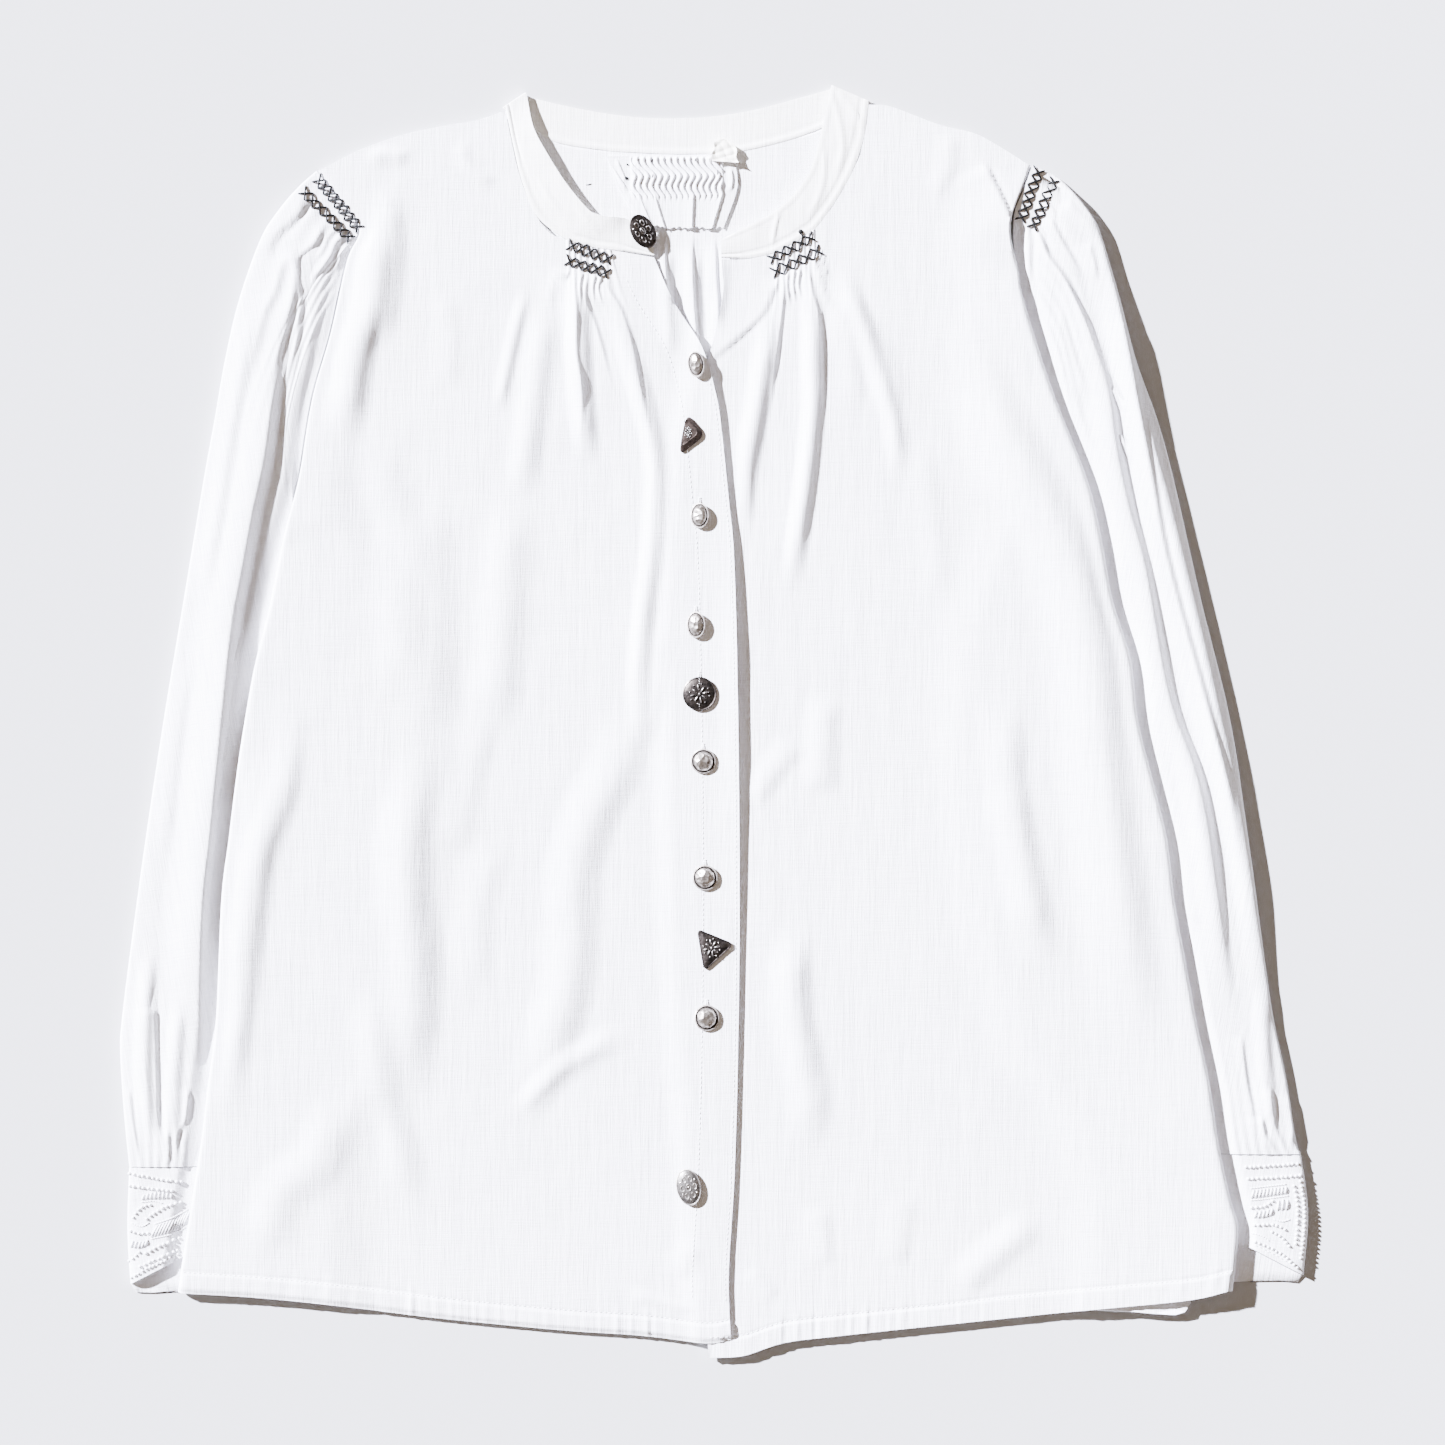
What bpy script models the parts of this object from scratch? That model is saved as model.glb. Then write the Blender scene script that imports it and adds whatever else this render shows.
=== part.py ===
# Smocked folk shirt laid flat, face up, buttoned, on a level surface.
# Plan positions are millimetres from the garment's centre: +X to the viewer's right, +Y to the neck.
# A grid of points on each cloth's middle surface gets its wall from the surface's own normals.

import math

import bmesh
import bpy
import numpy as np
from mathutils import Matrix, Vector

MM = 0.001

# Cloth thicknesses and the gap between pieces, in millimetres.
CLOTH = 1.2
SLEEVE_CLOTH = 1.0
BAND_CLOTH = 1.1
GAP = 0.3
# The sleeves' hidden stretch is pressed to this height under the body.
PRESSED = 2.4
# Middle height of a body layer that rests on the surface, and how far the sleeves lift it.
BACK_MIDDLE = CLOTH / 2
OVER_SLEEVE = PRESSED + GAP
LIFT_LEAD = 14.0
LIFT_RAMP = 30.0
# The front's middle surface lies this far over the back's.
FRONT_OVER_BACK = CLOTH + GAP + 1.1
# The buttonhole front lies this far over the button front where they lap.
LAP_LIFT = CLOTH + GAP + 0.9
LAP_RAMP = 14.0
# The pleats below the neck hold the fronts this much higher.
NECK_RISE = 0.9
PANEL_LENGTH = 620.0
SEAM_CLEAR = 1.1
BAND_CLEAR = 1.1
# Radius of the turned cloth at each front's side, and the height where the turn starts.
ROLL = {"right": 1.5, "left": 2.6}
TURN_FROM = {"right": 132.0, "left": 258.0}
HEM_DEPTH = 11.0
HEM_EXTRA = 0.6

# Outlines in plan.
SHOULDER_RIGHT = [(-219, 304), (-197, 315), (-174, 323), (-152, 328), (-129, 332), (-116, 337)]
NECK_RIGHT = [(-116, 337), (-112, 318), (-108, 301), (-101, 283), (-92, 270), (-83, 266)]
SMOCK_RIGHT = [(-83, 266), (-70, 262), (-57, 260)]
NECK_FRONT_RIGHT = [(-57, 260), (-34, 256)]
PLACKET_RIGHT = [(-34, 256), (-24, 233), (-10, 211), (-2, 200), (3, 167), (7, 123), (10, 90),
                 (12, 13), (13, -97), (12, -185), (10, -252), (7, -302), (8, -339)]
HEM_RIGHT = [(-296, -313), (-252, -316), (-212, -320), (-157, -327), (-86, -334), (-42, -337),
             (-6, -341), (8, -339)]
EDGE_RIGHT = [(-219, 304), (-204, 285), (-196, 271), (-203, 254), (-212, 214), (-222, 179),
              (-229, 136), (-238, 101), (-246, 62), (-254, 30), (-260, -4), (-264, -31),
              (-268, -64), (-272, -97), (-275, -163), (-279, -196), (-283, -229), (-287, -255),
              (-293, -293), (-296, -313)]
SHOULDER_LEFT = [(173, 307), (160, 315), (143, 324), (123, 329), (96, 339), (84, 340)]
NECK_LEFT = [(84, 340), (80, 315), (74, 301), (68, 290), (62, 281), (55, 272)]
SMOCK_LEFT = [(55, 272), (43, 264), (31, 258)]
NECK_FRONT_LEFT = [(31, 258), (16, 255), (3, 255)]
PLACKET_LEFT = [(3, 255), (4, 237), (0, 216), (-7, 189), (-14, 150), (-19, 90), (-20, 13),
                (-19, -97), (-14, -180), (-9, -262), (-4, -349)]
HEM_LEFT = [(284, -312), (261, -317), (211, -322), (163, -327), (68, -337), (37, -341),
            (15, -348), (-4, -349)]
EDGE_LEFT = [(173, 307), (168, 293), (163, 280), (162, 268), (166, 249), (169, 233), (185, 183),
             (204, 134), (212, 101), (218, 68), (228, 35), (232, 2), (240, -31), (248, -64),
             (252, -97), (258, -130), (264, -163), (271, -196), (276, -229), (283, -262),
             (287, -276), (286, -295), (284, -312)]
SEAM_LEFT = [(173, 307), (168, 293), (163, 280), (163, 262), (166, 233), (169, 200), (173, 161),
             (178, 128)]
SEAM_RIGHT = EDGE_RIGHT[:7]
NECK_BACK_RIGHT = [(-116, 337), (-87, 319), (-61, 315)]
NECK_BACK_SMOCK = [(-61, 315), (-48, 314), (-19, 313), (10, 314)]
NECK_BACK_LEFT = [(10, 314), (57, 326), (84, 340)]
BAND_BACK_TOP = [(-104, 345), (-69, 337), (-31, 333), (13, 336), (63, 349)]
HEM_BACK = [(-284, -309), (-212, -317), (-86, -331), (0, -338), (101, -332), (156, -327),
            (211, -322), (239, -323), (263, -319)]
BAND_FRONT_RIGHT = [(-104, 345), (-102, 332), (-94, 315), (-76, 288), (-64, 279), (-47, 276),
                    (-34, 261)]
BAND_FRONT_LEFT = [(63, 349), (58, 326), (53, 307), (45, 293), (30, 280), (3, 266)]
OUTER_RIGHT = [(-219, 304), (-229, 295), (-240, 282), (-250, 266), (-262, 233), (-270, 200),
               (-276, 167), (-282, 134), (-293, 68), (-304, 2), (-314, -64), (-323, -130),
               (-327, -163), (-328, -180), (-326, -213), (-323, -244)]
INNER_RIGHT = [(-229, 136), (-232, 125), (-230, 113), (-213, 88), (-190, 45), (-179, -15),
               (-185, -97), (-204, -174), (-228, -244)]
OUTER_LEFT = [(173, 307), (189, 299), (206, 279), (212, 266), (222, 233), (231, 200),
              (243, 167), (252, 134), (267, 68), (283, 2), (293, -64), (302, -130),
              (307, -163), (314, -196), (319, -229), (322, -237)]
INNER_LEFT = [(178, 128), (181, 118), (180, 106), (170, 80), (159, 40), (156, -15), (166, -97),
              (189, -174), (228, -237)]
# Shares of a sleeve's outer edge and of its hidden edge that its sections join.
SLEEVE_OUTER = (0, 0.1, 0.2, 0.3, 1)
SLEEVE_HIDDEN = (0, 0.015, 0.035, 0.075, 1)
# Stations across a sleeve's lower wall.
LOWER_SHARES = (0.97, 0.80, 0.60, 0.42, 0.25, 0.12, 0.03)
CUFF_END = -330.0
CUFF_CLOTH = 1.1
CUFF_RAISE = 0.6
# Sections of a cuff that carry a raised row of knots, and those that carry satin bars.
RAISED_ROWS = (1, 3, 5, 9)
BAR_ROWS = (7,)
# Foot of the strip sewn inside the back neck.
BACKING_FOOT = 272.0

# The turned-under cloth at a body's side: its least radius and width, and the turn's length.
LEAST_ROLL = 0.75
LEAST_FLAP = 2.2
TURN_LENGTH = 46.0
FLAP_CLEAR = 2.0
ARMHOLE_INSET = 0.8
# Shares of a panel's length at its rows, closer at the top where the pleats start.
FRONT_ROWS = (0, 0.02, 0.04, 0.062, 0.09, 0.125, 0.17, 0.22, 0.28, 0.34, 0.41, 0.48, 0.56, 0.64,
              0.72, 0.80, 0.88, 0.94)
BACK_ROWS = (0, 0.02, 0.04, 0.062, 0.1, 0.15, 0.21, 0.28, 0.36, 0.46, 0.58, 0.70, 0.82, 0.92)

# Folds of the cloth: height, width on the viewer's left, width on the right, points along it.
FOLDS_RIGHT = [
    (4.5, 16, 13, [(-188, 285), (-188, 260), (-191, 233), (-200, 194), (-206, 150)]),
    (3.0, 18, 13, [(-180, 167), (-183, 134), (-175, 112), (-173, 60), (-175, 5)]),
    (3.0, 20, 14, [(-157, 130), (-158, 90), (-156, 46), (-154, -5)]),
    (3.5, 18, 15, [(-110, 130), (-116, 79), (-119, 40), (-124, -10)]),
    (3.0, 8, 9, [(-61, 245), (-50, 208), (-41, 178), (-34, 145), (-35, 101), (-42, 40), (-44, -20)]),
    (3.5, 9, 9, [(-77, 250), (-76, 215), (-74, 178), (-70, 140)]),
    (2.5, 12, 11, [(-92, 235), (-102, 167), (-108, 118)]),
    (4.5, 20, 13, [(-161, -5), (-170, -61), (-170, -98), (-164, -135), (-168, -184), (-174, -215)]),
    (3.0, 14, 11, [(-231, 18), (-238, -36), (-250, -70), (-258, -120), (-266, -184), (-268, -225)]),
    (4.5, 20, 13, [(-46, 20), (-55, -24), (-68, -49), (-78, -85), (-80, -135), (-92, -179),
                   (-106, -214)]),
    (4.5, 16, 12, [(-210, -205), (-218, -238), (-239, -257), (-246, -282), (-245, -296)]),
    (2.5, 13, 11, [(-192, -140), (-185, -190), (-173, -238), (-168, -268)]),
    (2.5, 8, 8, [(-46, -168), (-84, -189), (-112, -220)]),
]
FOLDS_LEFT = [
    (3.5, 8, 9, [(30, 230), (23, 178), (15, 134), (12, 95)]),
    (3.5, 8, 8, [(52, 252), (53, 200), (52, 156), (40, 68)]),
    (2.5, 8, 8, [(68, 255), (85, 205), (97, 167), (101, 130)]),
    (5.0, 30, 20, [(120, 240), (148, 183), (167, 147), (184, 114), (197, 84), (207, 40),
                   (216, -42), (228, -125), (239, -200)]),
    (3.0, 18, 13, [(159, 20), (162, -36), (172, -85), (182, -140)]),
    (3.5, 16, 11, [(42, -108), (42, -159), (52, -208), (47, -238)]),
    (2.5, 9, 8, [(16, -46), (29, -29), (46, -8)]),
    (2.5, 13, 11, [(60, 18), (57, -42)]),
    (3.0, 10, 10, [(130, -314), (157, -289), (180, -271)]),
]
FOLDS_SLEEVE_RIGHT = [
    (6.0, 24, 7, [(-226, 262), (-234, 233), (-240, 216), (-248, 150), (-255, 117), (-261, 84),
                  (-267, 51), (-274, -15), (-280, -81), (-283, -114), (-284, -152), (-284, -185),
                  (-285, -220)]),
    (2.0, 9, 7, [(-253, 240), (-262, 190), (-272, 130), (-284, 60)]),
    (2.5, 8, 6, [(-311, -120), (-314, -185), (-310, -236)]),
    (2.0, 7, 6, [(-295, -150), (-298, -196), (-300, -236)]),
]
FOLDS_SLEEVE_LEFT = [
    (4.5, 14, 6, [(182, 268), (190, 254), (204, 216), (214, 183), (219, 150), (226, 117), (235, 84),
                  (248, 13), (265, -36), (275, -98), (284, -170)]),
    (4.0, 11, 5, [(203, 272), (209, 260), (219, 233), (226, 200), (232, 167), (238, 134), (244, 101),
                  (252, 68), (267, 13), (280, -37), (288, -90)]),
    (4.0, 10, 8, [(222, 215), (234, 172), (252, 101), (268, 35), (282, -31), (294, -100), (304, -170)]),
    (2.0, 8, 6, [(300, -140), (302, -190), (306, -232)]),
]
FOLDS_BACK = [
    (1.6, 7, 5, [(-26, 262), (-27, 235), (-24, 200)]),
    (1.6, 8, 5, [(-11, 262), (-11, 235), (-8, 200)]),
    (1.4, 6, 4, [(3, 262), (4, 240), (0, 215)]),
]

# Buttons: place, size across and along, turn, tilt towards +X, height, and how many corners.
BUTTONS = [
    # x, y, wide, long, turn, tilt, height, corners
    (-40, 270, 15.0, 19.5, 28, -24, 6.0, 0),
    (-10, 197, 10.5, 14.0, 8, 26, 4.5, 0),
    (-13, 159, 14.0, 20.0, 0, 18, 5.0, 3),
    (-9, 114, 11.0, 14.0, 0, 24, 4.5, 0),
    (-11, 54, 11.0, 14.5, 0, 24, 4.5, 0),
    (-9, 16, 18.7, 18.7, 0, 2, 6.0, 0),
    (-7, -21, 13.8, 13.8, 0, 3, 5.0, 0),
    (-6, -85, 13.8, 14.0, 0, 4, 5.0, 0),
    (-1, -123, 18.5, 20.5, -96, 2, 4.5, 3),
    (-5, -162, 13.8, 14.5, 0, 3, 5.0, 0),
    (-15, -255, 13.5, 20.5, 12, 8, 6.0, 0),
]

FABRIC = ((0.93, 0.93, 0.94), 0.9, 0.0)
CREAM = ((0.92, 0.90, 0.85), 0.9, 0.0)
METAL = ((0.55, 0.53, 0.50), 0.35, 1.0)


def smooth(q):
    """An even step from 0 to 1."""
    q = np.clip(q, 0.0, 1.0)
    return q * q * (3 - 2 * q)


def curve(points, count=160):
    """A smooth curve through the points, as many points evenly spaced along it."""
    p = np.array(points, float)
    if len(p) > 2:
        q = np.vstack([2 * p[0] - p[1], p, 2 * p[-1] - p[-2]])
        runs = []
        for i in range(1, len(q) - 2):
            t = np.linspace(0, 1, 12, endpoint=False)[:, None]
            a, b, c, d = q[i - 1], q[i], q[i + 1], q[i + 2]
            runs.append(0.5 * (2 * b + (c - a) * t + (2 * a - 5 * b + 4 * c - d) * t ** 2
                               + (3 * b - a - 3 * c + d) * t ** 3))
        p = np.vstack(runs + [p[-1:]])
    along = np.concatenate([[0], np.cumsum(np.linalg.norm(np.diff(p, axis=0), axis=1))])
    at = np.linspace(0, along[-1], count)
    return np.stack([np.interp(at, along, p[:, k]) for k in range(2)], axis=1)


def at_share(line, share):
    """Points of an evenly spaced line at shares of its length."""
    place = np.clip(np.asarray(share, float), 0, 1) * (len(line) - 1)
    return np.stack([np.interp(place, np.arange(len(line)), line[:, k]) for k in range(2)], axis=-1)


def x_at(line, y):
    """The line's x at a height y, for a line that runs down."""
    return np.interp(-np.asarray(y, float), -line[:, 1], line[:, 0])


def along_line(x, y, points):
    """Signed distance to the right of a line that runs down, and the share along it."""
    line = curve(points, 40)
    best = np.full(np.shape(x), 1e9)
    side = np.zeros(np.shape(x))
    share = np.zeros(np.shape(x))
    for i in range(len(line) - 1):
        a, d = line[i], line[i + 1] - line[i]
        t = np.clip(((x - a[0]) * d[0] + (y - a[1]) * d[1]) / (d @ d), 0, 1)
        gx = x - a[0] - t * d[0]
        gy = y - a[1] - t * d[1]
        far = np.hypot(gx, gy)
        near = far < best
        best = np.where(near, far, best)
        side = np.where(near, np.sign(gy * d[0] - gx * d[1]), side)
        share = np.where(near, (i + t) / (len(line) - 1), share)
    return best * side, share


def fold_height(x, y, folds):
    """Height of soft ridges, each with its own width on each side."""
    height = np.zeros(np.shape(x))
    for rise, wide_left, wide_right, points in folds:
        off, share = along_line(x, y, points)
        q = np.where(off < 0, -off / wide_left, off / wide_right)
        ends = smooth(share / 0.25) * smooth((1 - share) / 0.25)
        height += rise * ends * np.cos(np.clip(q, 0, 1) * math.pi / 2) ** 2
    return height


EDGE_CURVE = {"right": curve(EDGE_RIGHT), "left": curve(EDGE_LEFT)}
SEAM_CURVE = {"right": curve(SEAM_RIGHT), "left": curve(SEAM_LEFT)}
INNER_CURVE = {
    "right": curve(INNER_RIGHT + [(-228, CUFF_END)]),
    "left": curve(INNER_LEFT + [(228, CUFF_END)]),
}
PLACKET_CURVE = {"right": curve(PLACKET_RIGHT), "left": curve(PLACKET_LEFT)}
# Where the body starts to lie over each sleeve.
OVERLAP_FROM = {"right": 136.0, "left": 262.0}
OUTWARD = {"right": -1.0, "left": 1.0}


def sleeve_inside_x(side, y):
    """The hidden sleeve's inner edge, and above the underarm its seam."""
    hidden = x_at(INNER_CURVE[side], y)
    if side == "left":
        return np.where(y > INNER_LEFT[0][1], x_at(SEAM_CURVE[side], y), hidden)
    return hidden


def lift(x, y):
    """How far the sleeves lift the body, from 0 to OVER_SLEEVE."""
    total = np.zeros(np.shape(x))
    for side, sign in OUTWARD.items():
        inside = sleeve_inside_x(side, np.minimum(y, OVERLAP_FROM[side]))
        off = np.hypot(np.maximum(0, sign * (inside - x)), np.maximum(0, y - OVERLAP_FROM[side]))
        total = np.maximum(total, OVER_SLEEVE * smooth(1 - (off - LIFT_LEAD) / LIFT_RAMP))
    return total


def back_middle(x, y):
    """Middle height of the back panel."""
    return BACK_MIDDLE + lift(x, y) + fold_height(x, y, FOLDS_BACK)


def lap(x, y):
    """How far the buttonhole front is lifted by the button front under it."""
    off = x_at(PLACKET_CURVE["left"], y) - x
    return LAP_LIFT * smooth(1.2 - off / LAP_RAMP)


def front_middle(side, x, y):
    """Middle height of a front panel, with its folds."""
    folds = FOLDS_RIGHT if side == "right" else FOLDS_LEFT
    placket = x_at(PLACKET_CURVE[side], y)
    calm = smooth(np.abs(x - placket) / 14.0)
    if side == "left":
        calm = smooth((x - x_at(PLACKET_CURVE["right"], y) - 3) / 10.0)
    edge = np.abs(x - x_at(EDGE_CURVE[side], y))
    calm = calm * smooth(edge / 10.0) * smooth((y + 336) / 16.0)
    height = BACK_MIDDLE + lift(x, y) + FRONT_OVER_BACK + fold_height(x, y, FOLDS_BACK)
    height = height + calm * fold_height(x, y, folds) + NECK_RISE * smooth((y - 185) / 35.0)
    if side == "right":
        height = height + lap(x, y)
    return height


def coons(top, bottom, start, end):
    """A patch of plan points spanned by its four edges, rows from top to bottom.

    A side's bow fades quickly into the patch, so that the rows stay in order below the neck."""
    rows, columns = len(start), len(top)
    v = np.linspace(0, 1, rows)[:, None, None]
    u = np.linspace(0, 1, columns)[None, :, None]
    ruled = (1 - v) * top[None] + v * bottom[None]
    bow_start = start[:, None] - ruled[:, :1]
    bow_end = end[:, None] - ruled[:, -1:]
    return ruled + (1 - u) ** 4 * bow_start + u ** 4 * bow_end


def stations(stretches):
    """Points along joined stretches: each has its curve and its number of steps."""
    parts = []
    for points, steps in stretches:
        line = at_share(curve(points), np.linspace(0, 1, steps + 1))
        parts.append(line if not parts else line[1:])
    return np.vstack(parts)


def spaced(shares):
    """Stations from 0 to 1 from a list of steps and the share each run of steps takes."""
    at = [0.0]
    for steps, share in shares:
        at += [at[-1] + share * (k + 1) / steps for k in range(steps)]
    return np.array(at) / at[-1]


def remap(patch, at):
    """The patch's rows moved to other shares of its length."""
    rows = np.linspace(0, 1, len(patch))
    out = np.empty((len(at),) + patch.shape[1:])
    for j in range(patch.shape[1]):
        for k in range(patch.shape[2]):
            out[:, j, k] = np.interp(at, rows, patch[:, j, k])
    return out


def normals_of(grid):
    """Unit normals of a grid of points, up where the grid lies flat."""
    down = np.gradient(grid, axis=0)
    across = np.gradient(grid, axis=1)
    normal = np.cross(across, down)
    normal /= np.maximum(np.linalg.norm(normal, axis=2, keepdims=True), 1e-9)
    if np.median(normal[..., 2]) < 0:
        normal = -normal
    return normal


def material(name, look):
    """A plain material in the piece's colour."""
    colour, roughness, metallic = look
    made = bpy.data.materials.new(name)
    made.use_nodes = True
    shader = made.node_tree.nodes["Principled BSDF"]
    shader.inputs["Base Color"].default_value = (*colour, 1.0)
    shader.inputs["Roughness"].default_value = roughness
    shader.inputs["Metallic"].default_value = metallic
    return made


def add_object(name, points, faces, look):
    """A closed piece from points in millimetres, its faces turned outwards."""
    mesh = bpy.data.meshes.new(name)
    mesh.from_pydata([tuple(float(c) * MM for c in p) for p in points], [], faces)
    body = bmesh.new()
    body.from_mesh(mesh)
    bmesh.ops.triangulate(body, faces=body.faces[:])
    bmesh.ops.recalc_face_normals(body, faces=body.faces[:])
    if body.calc_volume(signed=True) < 0:
        bmesh.ops.reverse_faces(body, faces=body.faces[:])
    body.to_mesh(mesh)
    body.free()
    mesh.materials.append(material(name, look))
    mesh.shade_smooth()
    mesh.set_sharp_from_angle(angle=math.radians(40))
    piece = bpy.data.objects.new(name, mesh)
    bpy.context.scene.collection.objects.link(piece)
    return piece


def wall_between(name, outer, inner, look):
    """A wall whose outer and inner faces are two grids of points."""
    rows, columns = outer.shape[:2]
    count = rows * columns

    def index(i, j, inside):
        return i * columns + j + (count if inside else 0)

    faces = []
    for i in range(rows - 1):
        for j in range(columns - 1):
            faces.append([index(i, j, 0), index(i + 1, j, 0), index(i + 1, j + 1, 0), index(i, j + 1, 0)])
            faces.append([index(i, j, 1), index(i, j + 1, 1), index(i + 1, j + 1, 1), index(i + 1, j, 1)])
    rim = [(i, 0) for i in range(rows)] + [(rows - 1, j) for j in range(1, columns)]
    rim += [(i, columns - 1) for i in range(rows - 2, -1, -1)] + [(0, j) for j in range(columns - 2, 0, -1)]
    for a, b in zip(rim, rim[1:] + rim[:1]):
        faces.append([index(*a, 0), index(*a, 1), index(*b, 1), index(*b, 0)])
    points = np.vstack([outer.reshape(-1, 3), inner.reshape(-1, 3)])
    return add_object(name, points, faces, look)


def pleat_wave(columns, start, steps, rows_at, depth, reach):
    """Height of smocking pleats: every second column of a run stands up, fading down the cloth."""
    wave = np.zeros((len(rows_at), columns))
    fade = np.exp(-((rows_at / reach) ** 1.5))
    for k in range(steps + 1):
        if k % 2 == 1:
            wave[:, start + k] = depth * fade
    return wave


def side_turn(side, y):
    """0 where the body's side is sewn to the sleeve, 1 where it is turned under over it."""
    return smooth((TURN_FROM[side] - y) / TURN_LENGTH)


def flap_width(side, y):
    """How far the front's cloth runs back under its side."""
    edge = x_at(EDGE_CURVE[side], y)
    if side == "right":
        full = np.interp(-y, [-136, 60, 313], [4.0, 14.0, 16.0])
    else:
        seam = edge - x_at(SEAM_CURVE[side], y) - FLAP_CLEAR
        full = np.where(y > SEAM_LEFT[-1][1], np.maximum(seam, LEAST_FLAP),
                        np.interp(-y, [-128, 300], [26.0, 21.0]))
    return LEAST_FLAP + (full - LEAST_FLAP) * side_turn(side, y)


def rolled_edge(grid, side, roll):
    """Adds the cloth that turns under at the body's side, row by row."""
    sign = OUTWARD[side]
    extra = np.zeros((len(grid), 5, 3))
    for i, edge in enumerate(grid[:, 0]):
        turn = float(side_turn(side, edge[1]))
        radius = LEAST_ROLL + (roll - LEAST_ROLL) * turn
        drop = (FRONT_OVER_BACK - CLOTH - GAP) + (CLOTH + GAP - 0.1) * float(smooth(turn * 2 - 1))
        low = edge[2] - drop
        flap_end = max(float(flap_width(side, edge[1])), radius + 1.0)
        section = [
            (flap_end, low), (radius, low), (radius * 0.1, low + radius * 0.55),
            (radius * 0.1, low + radius * 1.45), (radius, low + 2 * radius),
        ]
        for k, (inset, z) in enumerate(section):
            extra[i, k] = (edge[0] - sign * (inset + CLOTH / 2), edge[1], z)
    return extra


def front_panel(side):
    """One front: smocked below the neckband, rolled under at its side, with a turned hem."""
    right = side == "right"
    shoulder, neck, smock, neck_front, hem, edge, placket = (
        (SHOULDER_RIGHT, NECK_RIGHT, SMOCK_RIGHT, NECK_FRONT_RIGHT, HEM_RIGHT, EDGE_RIGHT, PLACKET_RIGHT)
        if right
        else (SHOULDER_LEFT, NECK_LEFT, SMOCK_LEFT, NECK_FRONT_LEFT, HEM_LEFT, EDGE_LEFT, PLACKET_LEFT)
    )
    steps = (6, 4, 16, 2)
    shares = (0.40, 0.12, 0.36, 0.12) if right else (0.44, 0.12, 0.30, 0.14)
    top = stations([(shoulder, steps[0]), (neck, steps[1]), (smock, steps[2]), (neck_front, steps[3])])
    bottom = at_share(curve(hem), spaced(list(zip(steps, shares))))
    v = np.linspace(0, 1, 61)
    patch = coons(top, bottom, at_share(curve(edge), v), at_share(curve(placket), v))
    at = np.array(FRONT_ROWS + (1 - HEM_DEPTH / PANEL_LENGTH, 1.0))
    plan = remap(patch, at)
    columns = plan.shape[1]
    height = front_middle(side, plan[..., 0], plan[..., 1])
    height += pleat_wave(columns, steps[0] + steps[1], steps[2], at, 1.5, 0.17)
    grid = np.dstack([plan, height])
    extra = rolled_edge(grid, side, ROLL[side])
    # The panel's own points start inside the rolled edge.
    shift = extra[:, 4:5] - grid[:, 0:1]
    fade = np.array([1.0, 0.6, 0.25])[None, :, None]
    grid[:, 0:3] += shift * fade
    grid = np.concatenate([extra[:, :4], grid], axis=1)
    normal = normals_of(grid)
    normal[:, 6:] = (0, 0, 1)
    relief = np.zeros(grid.shape[:2])
    relief[-2:, 5:] = HEM_EXTRA
    outer = grid + normal * (CLOTH / 2 + relief)[..., None]
    inner = grid - normal * (CLOTH / 2)
    return wall_between("front_" + side, outer, inner, FABRIC)


def back_side_x(side, y):
    """The back panel's side seam, just inside the front's turned-under cloth."""
    edge = x_at(EDGE_CURVE[side], y)
    clear = (flap_width(side, y) + FLAP_CLEAR) * smooth((TURN_FROM[side] + 16 - y) / 22)
    if side == "right":
        return edge + np.maximum(clear, ARMHOLE_INSET)
    seam = x_at(SEAM_CURVE[side], y) - ARMHOLE_INSET
    return np.where(y > SEAM_LEFT[-1][1], seam, edge - np.maximum(clear, ARMHOLE_INSET))


def back_panel():
    """The back: pleats gathered at the neck, a turned hem, sides lifted by the sleeves."""
    sides = {}
    for side, top_y, low_y in (("right", 304, -309), ("left", 307, -319)):
        y = np.linspace(top_y, low_y, 90)
        sides[side] = np.stack([back_side_x(side, y), y], axis=1)
    steps = (5, 2, 28, 2, 5)
    shares = (0.28, 0.08, 0.30, 0.08, 0.26)
    top = stations([
        (SHOULDER_RIGHT, steps[0]),
        (NECK_BACK_RIGHT, steps[1]),
        (NECK_BACK_SMOCK, steps[2]),
        (NECK_BACK_LEFT, steps[3]),
        (SHOULDER_LEFT[::-1], steps[4]),
    ])
    bottom = at_share(curve([tuple(sides["right"][-1])] + HEM_BACK[1:-1] + [tuple(sides["left"][-1])]),
                      spaced(list(zip(steps, shares))))
    patch = coons(top, bottom, at_share(sides["right"], np.linspace(0, 1, 61)),
                  at_share(sides["left"], np.linspace(0, 1, 61)))
    at = np.array(BACK_ROWS + (1 - HEM_DEPTH / PANEL_LENGTH, 1.0))
    plan = remap(patch, at)
    middle = back_middle(plan[..., 0], plan[..., 1])
    columns = plan.shape[1]
    relief = pleat_wave(columns, steps[0] + steps[1], steps[2], at, 0.8, 0.16)
    relief *= smooth((BACKING_FOOT - 8 - plan[..., 1]) / 8.0)
    grid = np.dstack([plan, middle])
    outer = grid.copy()
    outer[..., 2] += CLOTH / 2 + relief
    inner = grid.copy()
    inner[..., 2] -= CLOTH / 2
    flat = fold_height(plan[..., 0], plan[..., 1], FOLDS_BACK)
    inner[..., 2] -= flat
    return wall_between("back", outer, inner, FABRIC)


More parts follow.
